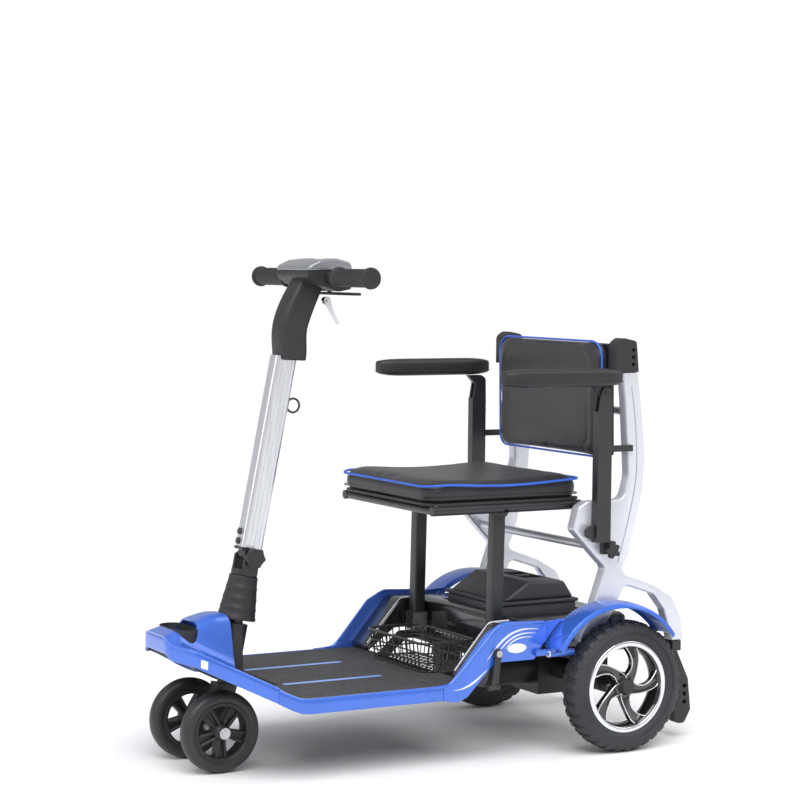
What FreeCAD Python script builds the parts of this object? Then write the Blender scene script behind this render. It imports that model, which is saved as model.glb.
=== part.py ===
import FreeCAD, Part
import Sketcher
import math
import os
import re
from FreeCAD import Placement, Rotation, Vector

# A folding four-wheel mobility scooter.
# Frame: +X forward, +Y to the rider's left, +Z up; origin on the ground, on the centre plane,
# 359 mm ahead of the rear axle.  Millimetres.

doc = FreeCAD.newDocument("mobility_scooter")

# Driving dimensions, one cell each: alias, value, what it is.
cells = [
    # wheels and axles
    ("rear_axle_x", -359, "rear axle, forward of the origin"),
    ("wheelbase", 767, "rear axle to front axle"),
    ("rear_wheel_r", 127, "rear tyre radius"),
    ("rear_tyre_w", 56, "rear tyre width"),
    ("rear_bead_r", 88, "rear tyre seat radius"),
    ("rear_wheel_y", 248, "centre plane to rear wheel centre"),
    ("rear_hub_r", 24, "rear hub radius"),
    ("drive_shaft_r", 9, "drive shaft radius"),
    ("front_wheel_r", 76, "front tyre radius"),
    ("front_tyre_w", 36, "front tyre width"),
    ("front_bead_r", 55, "front tyre seat radius"),
    ("front_wheel_y", 71, "centre plane to front wheel centre"),
    ("front_axle_r", 6, "front axle radius"),
    ("front_hub_r", 17, "front hub radius"),
    ("run_gap", 0.05, "radial clearance of a running fit"),
    ("seat_gap", 0.3, "clearance between neighbouring parts"),
    # deck
    ("deck_half", 235, "half the width over the deck trims"),
    ("deck_low", 127, "underside of the deck trim"),
    ("trim_high", 28, "height of the deck trim"),
    ("trim_thick", 6, "thickness of the deck trim"),
    ("knee_x", 322, "where the deck turns up"),
    ("ramp_angle", 27.5, "slope of the front ramp"),
    ("nose_seam_x", 368, "joint between deck trim and nose cover"),
    ("nose_x", 505, "front of the nose"),
    ("deck_rear_x", -36, "rear end of the floor"),
    ("pan_thick", 4, "thickness of the floor pan"),
    ("mat_thick", 4, "thickness of the grip mat"),
    ("panel_top", 263, "top of the side panels"),
    ("seam_x", 30, "joint between deck trim and side panel"),
    ("panel_rear_x", -193, "rear end of the side panel"),
    # chassis
    ("rail_y", 150, "centre plane to chassis rail"),
    ("rail_w", 20, "width of a chassis rail"),
    ("rail_rear_x", -500, "rear end of the chassis rails"),
    ("rail_low", 178, "underside of the raised rear rails"),
    ("rail_top", 192, "top of the raised rear rails"),
    ("cover_top", 258, "top of the rear body cover"),
    ("cover_half", 186, "half the width of the rear body cover"),
    # folding linkage
    ("link_x", -130, "lower pivot of the seat posts"),
    ("link_z", 216, "height of both lower pivots"),
    ("link_span", 160, "distance between the two lower pivots"),
    ("link_lean", -5, "upper pivot behind the lower pivot"),
    ("link_rise", 250, "height from lower pivot to upper pivot"),
    ("post_y", 148, "centre plane to seat post"),
    ("post_w", 26, "width of a seat post"),
    ("post_d", 24, "depth of a seat post"),
    ("pivot_r", 5, "radius of the linkage pins"),
    ("frame_y", 206, "centre plane to side frame"),
    ("frame_w", 26, "width of a side frame"),
    # seat
    ("seat_front_x", 38, "front edge of the seat"),
    ("seat_rear_x", -310, "rear edge of the seat"),
    ("seat_half", 184, "half the width of the cushion"),
    ("seat_top", 530, "top of the cushion"),
    ("seat_tube_r", 9, "radius of the seat frame tube"),
    ("seat_tube_y", 173, "centre plane to seat frame tube"),
    ("seat_tube_z", 472, "height of the seat frame tube"),
    # armrests
    ("arm_front_x", -85, "front of the armrest pad"),
    ("arm_rear_x", -350, "rear of the armrest pad"),
    ("arm_low", 703, "underside of the armrest pad"),
    ("arm_thick", 35, "thickness of the armrest pad"),
    ("arm_y", 242.5, "centre plane to armrest pad"),
    ("arm_w", 44, "width of the armrest pad"),
    ("arm_post_x", -318, "armrest post"),
    ("arm_post_y", 231, "centre plane to armrest post"),
    ("arm_pivot_z", 690, "height of the armrest hinge"),
    # steering and tiller
    ("hinge_x", 320, "tiller hinge"),
    ("hinge_z", 385, "height of the tiller hinge"),
    ("lean_angle", 11.06, "rearward lean of the steering axis"),
    ("stem_r", 14, "steering stem radius"),
    ("head_r", 24, "steering head radius"),
    ("tube_long", 362, "length of the tiller tube"),
    ("tube_w", 44, "width of the tiller tube, fore and aft"),
    ("tube_d", 36, "width of the tiller tube, side to side"),
    ("bar_x", 186, "handlebar axis"),
    ("bar_z", 905, "height of the handlebar axis"),
    ("bar_half", 230, "half the length of the handlebar"),
    ("bar_r", 11, "handlebar tube radius"),
    ("grip_r", 17, "grip radius"),
    ("grip_long", 128, "grip length"),
    # fenders
    ("fender_x", -331, "centre of the fender arc"),
    ("fender_z", 136, "height of the centre of the fender arc"),
    ("fender_r", 158, "outer radius of the fender"),
    ("fender_in_y", 221, "inner edge of the fender"),
    ("fender_out_y", 287, "outer edge of the fender"),
    ("fender_thick", 4, "thickness of the fender"),
    # basket and battery
    ("basket_front_x", 8, "front of the basket"),
    ("basket_long", 125, "length of the basket"),
    ("basket_half", 114, "half the width of the basket"),
    ("basket_high", 60, "height of the basket"),
    ("wire_r", 1.6, "basket wire radius"),
    ("battery_half", 108, "half the width of the battery pack"),
    ("battery_front_x", -178, "front of the battery pack"),
    ("battery_rear_x", -346, "rear of the battery pack"),
    ("battery_top", 316, "top of the battery lid"),
]

sheet = doc.addObject("Spreadsheet::Sheet", "dims")
for row, (alias, value, note) in enumerate(cells, start=1):
    sheet.set("A%d" % row, note)
    sheet.set("B%d" % row, str(value))
    sheet.setAlias("B%d" % row, alias)
doc.recompute()
names = {alias for alias, value, note in cells}


class Sizes:
    """Cell values by alias, for the places that are worked out in Python."""

    def __getattr__(self, alias):
        return float(sheet.get(alias))


d = Sizes()
sides = (("left", 1), ("right", -1))
nodes = {}


# ---- small tools ---------------------------------------------------------------------

def bind(obj, prop, text):
    """Bind a property to an expression over the sheet's aliases, or set a plain number."""
    if isinstance(text, (int, float)):
        setattr(obj, prop, text)
        return
    linked = re.sub(r"[a-z][a-z_]+", lambda m: "dims." + m[0] if m[0] in names else m[0], text)
    obj.setExpression(prop, linked)


def place(obj, x=0, y=0, z=0):
    numbers = [0 if isinstance(value, str) else value for value in (x, y, z)]
    obj.Placement = Placement(Vector(*numbers), obj.Placement.Rotation)
    for axis, value in (("x", x), ("y", y), ("z", z)):
        if isinstance(value, str):
            bind(obj, "Placement.Base." + axis, value)
    return obj


def node(obj, label):
    obj.Label = label
    nodes[label] = obj
    return obj


def box(name, length, width, height, x, y, z):
    """A box by its low-x face, its middle plane in y and its underside."""
    obj = doc.addObject("Part::Box", name)
    bind(obj, "Length", length)
    bind(obj, "Width", width)
    bind(obj, "Height", height)
    return place(obj, x, "%s - (%s) / 2" % (y, width), z)


def bar(name, radius, length, x, y, z):
    """A cylinder along Y, centred on the point given."""
    obj = doc.addObject("Part::Cylinder", name)
    bind(obj, "Radius", radius)
    bind(obj, "Height", length)
    obj.Placement = Placement(Vector(), Rotation(Vector(1, 0, 0), -90))
    return place(obj, x, "%s - (%s) / 2" % (y, length), z)


def tube_x(name, radius, length, x, y, z):
    """A cylinder along X that starts at the point given."""
    obj = doc.addObject("Part::Cylinder", name)
    bind(obj, "Radius", radius)
    bind(obj, "Height", length)
    obj.Placement = Placement(Vector(), Rotation(Vector(0, 1, 0), 90))
    return place(obj, x, y, z)


def fuse(name, *parts):
    obj = doc.addObject("Part::MultiFuse", name)
    obj.Shapes = list(parts)
    return obj


def cut(name, base, *tools):
    obj = doc.addObject("Part::Cut", name)
    obj.Base = base
    obj.Tool = tools[0] if len(tools) == 1 else fuse(name + "_tools", *tools)
    return obj


def group(name, *parts):
    """Separate solids that share one node."""
    obj = doc.addObject("Part::Compound", name)
    obj.Links = list(parts)
    return obj


def outline(points):
    """Edges of a closed outline; a point's third number rounds its corner."""
    corners = []
    for i, point in enumerate(points):
        here = Vector(point[0], point[1], 0)
        radius = point[2] if len(point) > 2 else 0
        if not radius:
            corners.append((here, here, None))
            continue
        before = (Vector(*points[i - 1][:2], 0) - here).normalize()
        after = (Vector(*points[(i + 1) % len(points)][:2], 0) - here).normalize()
        half = before.getAngle(after) / 2
        reach = radius / math.tan(half)
        middle = (before + after).normalize()
        tip = here + middle * (radius / math.sin(half) - radius)
        corners.append((here + before * reach, here + after * reach, tip))
    edges = []
    for i, (start, end, tip) in enumerate(corners):
        if tip:
            edges.append(Part.Arc(start, tip, end))
        following = corners[(i + 1) % len(corners)][0]
        if (following - end).Length > 1e-6:
            edges.append(Part.LineSegment(end, following))
    return edges


def sketch(body, plane, *outlines):
    """A sketch of closed outlines on one of the body's own origin planes."""
    obj = body.newObject("Sketcher::SketchObject", body.Name + "_sketch")
    face = [o for o in body.Origin.OriginFeatures if o.Role == plane][0]
    obj.AttachmentSupport = [(face, "")]
    obj.MapMode = "FlatFace"
    for points in outlines:
        edges = outline(points) if isinstance(points[0], tuple) else points
        first = obj.GeometryCount
        for edge in edges:
            obj.addGeometry(edge)
        if len(edges) > 1:
            for i in range(len(edges)):
                join_ends(obj, first + i, first + (i + 1) % len(edges))
    return obj


def join_ends(obj, one, other):
    """A coincident constraint at the end that two edges of a sketch share."""
    for a in (1, 2):
        for b in (1, 2):
            if (obj.getPoint(one, a) - obj.getPoint(other, b)).Length < 1e-5:
                obj.addConstraint(Sketcher.Constraint("Coincident", one, a, other, b))
                return


def pad(body, profile, length, symmetric=True):
    obj = body.newObject("PartDesign::Pad", body.Name + "_pad")
    obj.Profile = profile
    obj.SideType = "Symmetric" if symmetric else "One side"
    bind(obj, "Length", length)
    return obj


def plate(name, points, width, y=0, holes=(), plane="XZ_Plane"):
    """A body padded both ways from an outline; holes are (x, z, radius)."""
    body = doc.addObject("PartDesign::Body", name)
    rings = [[Part.Circle(Vector(x, z, 0), Vector(0, 0, 1), r)] for x, z, r in holes]
    pad(body, sketch(body, plane, points, *rings), width)
    if plane == "XZ_Plane":
        place(body, 0, y, 0)
    return body


def turned(name, points, x, y, z):
    """A body turned about an axis along Y; points are (y, radius)."""
    body = doc.addObject("PartDesign::Body", name)
    profile = sketch(body, "YZ_Plane", points)
    obj = body.newObject("PartDesign::Revolution", name + "_turn")
    obj.Profile = profile
    obj.ReferenceAxis = (profile, ["H_Axis"])
    obj.Angle = 360
    return place(body, x, y, z)


def mirrored(points):
    """The same outline with its first coordinate negated."""
    return [(-p[0], *p[1:]) for p in reversed(points)]


def shaped(name, shape):
    """A feature whose shape is built directly, for forms no primitive gives."""
    obj = doc.addObject("Part::Feature", name)
    obj.Shape = shape
    return obj


# ---- the tiller's own frame: origin at the hinge, w along the steering axis --------------

lean = math.radians(d.lean_angle)
tiller_turn = Rotation(Vector(0, 1, 0), -d.lean_angle)
hinge = Vector(d.hinge_x, 0, d.hinge_z)


def on_axis(u, w, y=0):
    """World point from tiller coordinates: u ahead of the axis, w along it."""
    return hinge + tiller_turn.multVec(Vector(u, y, w))


def to_axis(x, z):
    """Tiller coordinates of a world point in the centre plane."""
    local = tiller_turn.inverted().multVec(Vector(x, 0, z) - hinge)
    return local.x, local.z


def tilted(obj, u=0, y=0, w=0, turn=None):
    """Place an object in the tiller's frame."""
    spin = tiller_turn if turn is None else tiller_turn.multiply(turn)
    obj.Placement = Placement(on_axis(u, w, y), spin)
    return obj


def axis_rod(name, radius, start, end, u=0, y=0):
    """A cylinder along the steering axis."""
    obj = doc.addObject("Part::Cylinder", name)
    bind(obj, "Radius", radius)
    obj.Height = end - start
    return tilted(obj, u, y, start)


def cross_rod(name, radius, length, u, w, y=0):
    """A cylinder along Y in the tiller's frame, centred on its point."""
    obj = doc.addObject("Part::Cylinder", name)
    bind(obj, "Radius", radius)
    bind(obj, "Height", length)
    return tilted(obj, u, y - float(obj.Height) / 2, w, Rotation(Vector(1, 0, 0), -90))


# ---- places that several parts share ---------------------------------------------------

front_axle_x = d.rear_axle_x + d.wheelbase
trim_top = d.deck_low + d.trim_high
pan_low = trim_top - 1 - d.mat_thick - d.pan_thick
slope = math.tan(math.radians(d.ramp_angle))
frame_pivot_x = d.link_x - d.link_span
upper_x = d.link_x + d.link_lean
upper_z = d.link_z + d.link_rise
frame_hinge_x = upper_x - d.link_span
post_in = d.post_y - d.post_w / 2
post_out = d.post_y + d.post_w / 2
rail_in = d.rail_y - d.rail_w / 2
rail_out = d.rail_y + d.rail_w / 2
frame_in = d.frame_y - d.frame_w / 2
frame_out = d.frame_y + d.frame_w / 2
ear_thick = 4


def ramp(x, base):
    """Height at x of a surface that is flat at base and turns up at the knee."""
    return base + max(0, x - d.knee_x) * slope


# ---- chassis -----------------------------------------------------------------------------

def chassis_rails():
    """A rail each side: flat under the floor, raised behind it, sloping up in front."""
    high = pan_low
    low = d.deck_low + 1
    step_x = d.deck_rear_x - 2
    front_x = d.nose_seam_x - 4
    lug = 22
    rails = []
    for side, hand in sides:
        points = [
            (d.rail_rear_x, d.rail_low), (step_x - 66, d.rail_low, 12), (step_x, low, 12),
            (d.knee_x - 6, low, 8), (front_x, ramp(front_x, pan_low) - 16),
            (front_x, ramp(front_x, pan_low)), (d.knee_x, high), (step_x - 6, high, 12),
            (step_x - 56, d.rail_top, 12), (frame_pivot_x + lug, d.rail_top),
            (frame_pivot_x + lug, d.link_z + lug - 6, 8),
            (frame_pivot_x - lug, d.link_z + lug - 6, 8), (frame_pivot_x - lug, d.rail_top),
            (d.rail_rear_x, d.rail_top),
        ]
        hole = (frame_pivot_x, d.link_z, d.pivot_r + 1)
        rails.append(plate("rail_" + side, points, "rail_w", "%d * rail_y" % hand, [hole]))
    return rails


def chassis_frame():
    """The rails, the crossbars between and behind them, and the battery tray."""
    inside = "2 * rail_y - rail_w"
    middle = box("middle_bar", 24, inside, 14, "link_x - 12", 0, "rail_low")
    front = box("floor_bar", 24, inside, 14, 120, 0, "deck_low + 2")
    rear = box("rear_bar", 20, "2 * frame_y + frame_w", 20, "rail_rear_x - 20.3", 0, "rail_low")
    tray = box("battery_tray", "battery_front_x - battery_rear_x + 56", inside, 6,
               "battery_rear_x - 56", 0, "rail_low")
    node(group("frame", *chassis_rails(), middle, front, rear, tray), "chassis_frame")


def steering_head():
    """The head tube on its cross plate, bored for the stem and its bearings."""
    low_w, high_w = -222, -126
    seat = d.seat_gap
    tube = axis_rod("head_tube", "head_r", low_w, high_w)
    thick = 6
    start, end = d.hinge_x + 18, d.nose_seam_x - 4
    points = [(start, ramp(start, pan_low) - thick), (end, ramp(end, pan_low) - thick),
              (end, ramp(end, pan_low) - seat), (start, ramp(start, pan_low) - seat)]
    web = plate("head_web", points, "2 * rail_y - rail_w")
    gussets = [plate("head_gusset_" + side, [(start, ramp(start, pan_low) - thick),
                     (end, ramp(end, pan_low) - thick), (end + 8, 200), (end - 6, 240),
                     (start + 2, 240)], thick, hand * 21) for side, hand in sides]
    body = fuse("head_body", tube, web, *gussets)
    bore = axis_rod("head_bore", "stem_r + 2", low_w - 40, high_w + 5)
    cups = [axis_rod("cup_low", "stem_r + 6", low_w - 40, low_w + 12),
            axis_rod("cup_high", "stem_r + 6", high_w - 10, high_w + 5)]
    rings = [cut("steering_head", body, bore, *cups)]
    for name, start in (("lower_race", low_w + 1.7), ("upper_race", high_w - 10)):
        ring = axis_rod(name, "stem_r + 6 - run_gap", start, start + 10)
        hole = axis_rod(name + "_hole", "stem_r + run_gap", start - 1, start + 11)
        rings.append(cut(name + "_ring", ring, hole))
    node(group("head_and_races", *rings), "steering_head")


def floor():
    """The folded pan, the grip mat on it and the two pale inlays in the mat."""
    end = d.nose_seam_x - 2
    half = d.deck_half - d.trim_thick - d.seat_gap
    hump_half = 84
    opening = box("hump_slot", 200, 2 * hump_half, 200, "knee_x - 30", 0, "deck_low")
    for name, low, thick, width in (
        ("floor_pan", pan_low, d.pan_thick, 2 * half),
        ("floor_mat", pan_low + d.pan_thick, d.mat_thick, 2 * half - 8),
    ):
        high = low + thick
        start = d.deck_rear_x
        points = [(start, low), (d.knee_x, low, 20), (end, ramp(end, low)),
                  (end, ramp(end, high)), (d.knee_x, high, 20), (start, high)]
        sheet_body = plate(name + "_sheet", points, width)
        tools = [opening]
        if name == "floor_mat":
            tools += [inlay("slot_" + side, hand, 0.3) for side, hand in sides]
        node(cut(name, sheet_body, *tools), name)
    node(group("inlays", *[inlay("inlay_" + side, hand, 0) for side, hand in sides]),
         "floor_inlays")


def inlay(name, hand, extra):
    """One round-ended strip let into the mat, or the slot that it lies in."""
    wide = 7 + extra
    rear, front, y = 84, d.knee_x - 44, hand * 82
    points = [(rear - wide, y - wide, wide * 0.98), (front + wide, y - wide, wide * 0.98),
              (front + wide, y + wide, wide * 0.98), (rear - wide, y + wide, wide * 0.98)]
    body = plate(name, points, 1 if extra else 0.8, plane="XY_Plane")
    top = pan_low + d.pan_thick + d.mat_thick
    body.Placement.Base = Vector(0, 0, top - 0.5 if extra else top - 0.4)
    return body


def side_trims():
    """The flat band along each side of the deck, turning up at the knee."""
    low = d.deck_low
    trims = []
    for side, hand in sides:
        points = [(d.seam_x, low), (d.knee_x + 6, low, 24),
                  (d.nose_seam_x, ramp(d.nose_seam_x, low) - 2),
                  (d.nose_seam_x, ramp(d.nose_seam_x, trim_top)), (d.knee_x, trim_top, 30),
                  (d.seam_x, trim_top)]
        y = "%d * (deck_half - trim_thick / 2)" % hand
        trims.append(plate("trim_" + side, points, "trim_thick", y))
    node(group("trims", *trims), "side_trims")


def side_panels():
    """The panel that climbs from the deck trim to the rear body, and the one behind it."""
    low = d.deck_low
    top = d.panel_top
    rear = d.panel_rear_x
    panels = []
    for side, hand in sides:
        points = [(d.seam_x - 0.5, low), (-2, low - 5, 14), (-22, low + 4, 14),
                  (-80, 190, 16), (rear + 26, 190), (rear, 226), (rear, top - 2),
                  (-100, top + 3, 26), (-62, 247, 20), (22, trim_top - 6, 16),
                  (d.seam_x - 0.5, trim_top)]
        y = "%d * (deck_half - trim_thick / 2)" % hand
        panels.append(plate("panel_" + side, points, "trim_thick", y))
        points = [(rear - 0.5, 194), (rear - 0.5, top - 3), (rear - 100, top),
                  (rear - 100, 194)]
        y = "%d * (deck_half - trim_thick - 2)" % hand
        blank = plate("rear_panel_blank_" + side, points, "trim_thick", y)
        arch = bar("rear_panel_arch_" + side, "fender_r + seat_gap", 60, "fender_x",
                   "%d * deck_half" % hand, "fender_z")
        panels.append(cut("rear_panel_" + side, blank, arch))
    node(group("panels", *panels), "side_panels")


def nose():
    """The painted nose: two foot ramps, side bands, a raised housing and a carry slot."""
    seam = d.nose_seam_x + 0.5
    front = d.nose_x
    wall = 4
    top = ramp(front, trim_top) - 14
    slab_profile = [(seam, ramp(seam, trim_top) - wall), (front - 30, top - wall, 40),
                    (front, top - wall - 4), (front, top - 6, 4), (front - 26, top + 1, 40),
                    (seam, ramp(seam, trim_top))]
    plan = [(seam - 1, -d.deck_half), (front - 33, -112, 24), (front, -50, 40),
            (front, 50, 40), (front - 33, 112, 24), (seam - 1, d.deck_half)]
    slab = plate("nose_slab", slab_profile, "2 * deck_half")
    band_profile = [(seam, ramp(seam, d.deck_low)), (front - 30, top - d.trim_high, 40),
                    (front, top - d.trim_high + 2), (front, top - wall),
                    (front - 30, top - wall, 40), (seam, ramp(seam, trim_top) - wall)]
    band = plate("nose_band", band_profile, "2 * deck_half")
    core = plate("nose_core", inset_plan(plan, d.trim_thick), 1200, plane="XY_Plane")
    rim = cut("nose_rim", band, core)
    hump_points = [(300, trim_top - 1), (304, 262, 8), (322, 278, 20), (404, 286, 40),
                   (452, 270, 40), (front - 8, top + 8, 12), (front - 12, top - 10)]
    hump = plate("nose_hump", hump_points, 150)
    inner = [(300 + wall, trim_top - 40), (304 + wall, 258, 5), (322, 274, 16),
             (404, 282, 36), (450, 266, 36), (front - 14, top + 3, 8),
             (front - 26, top - 60)]
    hollow = plate("nose_hollow", inner, 150 - 2 * wall)
    below = plate("nose_below", [(d.knee_x - 60, 0), (front + 20, 0),
                                 (front + 20, ramp(front + 20, pan_low) - 34),
                                 (d.knee_x, pan_low - 14), (d.knee_x - 60, pan_low - 14)], 600)
    boot_hole = axis_rod("boot_hole", 40, -190, -60)
    slot = doc.addObject("Part::Box", "slot_box")
    slot.Length = 48
    slot.Width = 60
    slot.Height = 120
    slot.Placement.Base = Vector(436, -30, 190)
    ends = []
    for hand in (1, -1):
        end = doc.addObject("Part::Cylinder", "slot_end")
        end.Radius = 24
        end.Height = 120
        end.Placement.Base = Vector(460, hand * 30, 190)
        ends.append(end)
    shell = fuse("nose_shell", slab, rim, cut("hump_shell", hump, hollow))
    blank = plate("nose_plan", plan, 1200, plane="XY_Plane")
    common = doc.addObject("Part::Common", "nose_common")
    common.Base = shell
    common.Tool = fuse("nose_limit", blank, box("hump_limit", 90, 160, 400, 295, 0, 0))
    web_room = plate("web_room", [(290, 0), (seam - 0.2, 0),
                     (seam - 0.2, ramp(seam, pan_low) + 0.2), (d.knee_x, pan_low + 0.2),
                     (290, pan_low + 0.2)], 300)
    node(cut("nose_cover", common, hollow, below, web_room, boot_hole, slot, *ends),
         "nose_cover")

    tray = [(seam + 6, ramp(seam, pan_low) - 1), (front - 36, top - 26, 30),
            (front - 12, top - 24), (front - 12, top - 20), (front - 38, top - 21, 30),
            (seam + 6, ramp(seam, pan_low) + 3)]
    under = plate("tray_sheet", tray, "2 * (deck_half - trim_thick - 0.4)")
    limit = plate("tray_plan", inset_plan(plan, d.trim_thick + 0.4), 1200,
                  plane="XY_Plane")
    trimmed = doc.addObject("Part::Common", "tray_common")
    trimmed.Base = under
    trimmed.Tool = limit
    head = box("tray_head", 60, 70, 90, 330, 0, 150)
    hole = [slot] + ends
    node(cut("nose_undertray", trimmed, head, *hole), "nose_undertray")


def inset_plan(plan, amount):
    """The nose plan drawn in by a wall and run out behind the seam."""
    edges = []
    for one, two in zip(plan, plan[1:]):
        along = Vector(two[0] - one[0], two[1] - one[1], 0).normalize()
        inward = Vector(-along.y, along.x, 0)
        edges.append((Vector(one[0], one[1], 0) + inward * amount, along))
    start = edges[0][0] - edges[0][1] * 30
    points = [(start.x, start.y)]
    for (p, a), (q, b), corner in zip(edges, edges[1:], plan[1:]):
        reach = ((q.x - p.x) * b.y - (q.y - p.y) * b.x) / (a.x * b.y - a.y * b.x)
        hit = p + a * reach
        points.append((hit.x, hit.y, *corner[2:]))
    points.append((start.x, -start.y))
    return points


def rear_body():
    """The black body over the rear rails, the two ramp housings and what they hold."""
    wall = 4
    rear, front = -412, d.link_x - d.post_d / 2 - 8
    shell = box("cover_block", front - rear, "2 * cover_half",
                "cover_top - rail_top - seat_gap", rear, 0, "rail_top + seat_gap")
    inner = box("cover_inner", front - rear - 2 * wall, 2 * (d.cover_half - wall), 70,
                rear + wall, 0, "cover_top - 70 - 4")
    well = box("battery_well", "battery_front_x - battery_rear_x + 2",
               "2 * battery_half + 2", 90, "battery_rear_x - 1", 0, "cover_top - 20")
    pins = bar("cover_pin_hole", "pivot_r + 2", 500, frame_pivot_x, 0, "link_z")
    node(cut("rear_cover", shell, inner, well, pins), "rear_body_cover")

    ramp_in, ramp_out = 168.5, d.deck_half - d.trim_thick - d.seat_gap
    housings = []
    for side, hand in sides:
        points = [(front + 0.3, 196), (-92, 196, 14), (-34, pan_low + 8.3),
                  (-26, pan_low + 8.3),
                  (-26, pan_low + 18, 10), (-104, d.cover_top - 2, 22),
                  (front + 0.3, d.cover_top - 2)]
        y = hand * (ramp_in + ramp_out) / 2
        housings.append(plate("housing_" + side, points, ramp_out - ramp_in, y))
    node(group("housings", *housings), "ramp_housings")

    pack = [(d.battery_rear_x, d.rail_low + 6.3), (d.battery_front_x, d.rail_low + 6.3),
            (d.battery_front_x, 272), (d.battery_rear_x, 272)]
    case = plate("battery", pack, "2 * battery_half")
    lid = [(d.battery_rear_x - 4, 272.3), (d.battery_front_x + 4, 272.3),
           (d.battery_front_x - 4, 280), (d.battery_front_x - 62, d.battery_top, 6),
           (d.battery_rear_x + 26, d.battery_top - 3, 6), (d.battery_rear_x, 280)]
    cap = plate("lid", lid, "2 * battery_half + 6")
    grip = box("lid_recess", 30, 90, 14, "battery_front_x - 108", 0, "battery_top - 8")
    node(group("battery_and_lid", case, cut("battery_cap", cap, grip)), "battery_pack")
    node(box("electronics", 40, 200, 42, "battery_rear_x - 52", 0, "rail_low + 6.3"),
         "motor_controller")


def transaxle():
    """Motor, gearbox and axle tubes in one housing, hung from the rails."""
    x, z = "rear_axle_x", "rear_wheel_r"
    gearbox = box("gearbox", 96, 96, 96, "rear_axle_x - 48", -20, "rear_wheel_r - 52")
    motor = tube_x("motor", 38, 118, "rear_axle_x + 40", -20, "rear_wheel_r + 2")
    tubes = bar("axle_tubes", 22, 392, x, 0, z)
    legs = [box("axle_leg_" + side, 52, 26, "rail_low - rear_wheel_r",
                "rear_axle_x - 26", "%d * rail_y" % hand, "rear_wheel_r") for side, hand in sides]
    body = fuse("transaxle_body", gearbox, motor, tubes, *legs)
    bore = bar("axle_bore", "drive_shaft_r + run_gap", 500, x, 0, z)
    node(cut("transaxle", body, bore), "transaxle")


def rear_wheels():
    half = d.rear_tyre_w / 2
    for side, hand in sides:
        x, y, z = "rear_axle_x", "%d * rear_wheel_y" % hand, "rear_wheel_r"
        r, bead = d.rear_wheel_r, d.rear_bead_r
        tyre = [(-half + 8, bead), (half - 8, bead), (half - 5, bead + 8, 4),
                (half, bead + 20, 10), (half - 5, r - 5, 8), (half - 16, r, 12),
                (-half + 16, r, 12), (-half + 5, r - 5, 8), (-half, bead + 20, 10),
                (-half + 5, bead + 8, 4)]
        node(turned("rear_tyre_" + side, tyre, x, y, z), "rear_tyre_" + side)
        rim(("rear_rim_" + side), x, y, z, hand, bead - d.seat_gap, 9, half - 6,
            d.rear_hub_r, d.drive_shaft_r + d.run_gap, 5, 15)
        inner = 40 - d.rear_wheel_y
        shaft = [(inner, 0), (16, 0), (16, d.drive_shaft_r), (inner, d.drive_shaft_r)]
        if hand < 0:
            shaft = mirrored(shaft)
        shaft_body = turned("drive_shaft_" + side, shaft, x, y, z)
        cap = [(16.3, 0), (26, 0), (26, 13, 2), (16.3, 17)]
        if hand < 0:
            cap = mirrored(cap)
        cap_body = turned("hub_cap_" + side, cap, x, y, z)
        node(group("hub_" + side, shaft_body, cap_body), "rear_hub_" + side)


def rim(name, x, y, z, hand, outer, barrel, half, hub, bore, count, spoke_w):
    """A cast rim: barrel, hub and a polar pattern of spokes."""
    body = doc.addObject("PartDesign::Body", name)
    ring = [(-half, outer - barrel), (half, outer - barrel), (half, outer), (-half, outer)]
    core = [(-half, bore), (16, bore), (16, hub), (-half, hub)]
    if hand < 0:
        core = mirrored(core)
    profile = sketch(body, "YZ_Plane", ring, core)
    turn = body.newObject("PartDesign::Revolution", name + "_turn")
    turn.Profile = profile
    turn.ReferenceAxis = (profile, ["H_Axis"])
    turn.Angle = 360
    turn.AllowMultiFace = True
    reach = outer - barrel / 2
    spoke = [(hub - 4, -spoke_w / 2), (reach, -spoke_w * 0.35), (reach, spoke_w * 0.35),
             (hub - 4, spoke_w / 2)]
    arm_sketch = sketch(body, "XZ_Plane", spoke)
    arm = body.newObject("PartDesign::Pad", name + "_spoke")
    arm.Profile = arm_sketch
    arm.SideType = "Symmetric"
    arm.Length = 20
    pattern = body.newObject("PartDesign::PolarPattern", name + "_pattern")
    pattern.Originals = [arm]
    axis = [o for o in body.Origin.OriginFeatures if o.Role == "Y_Axis"][0]
    pattern.Axis = (axis, [""])
    pattern.Angle = 360
    pattern.Occurrences = count
    body.Tip = pattern
    place(body, x, y, z)
    node(body, name)


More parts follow.
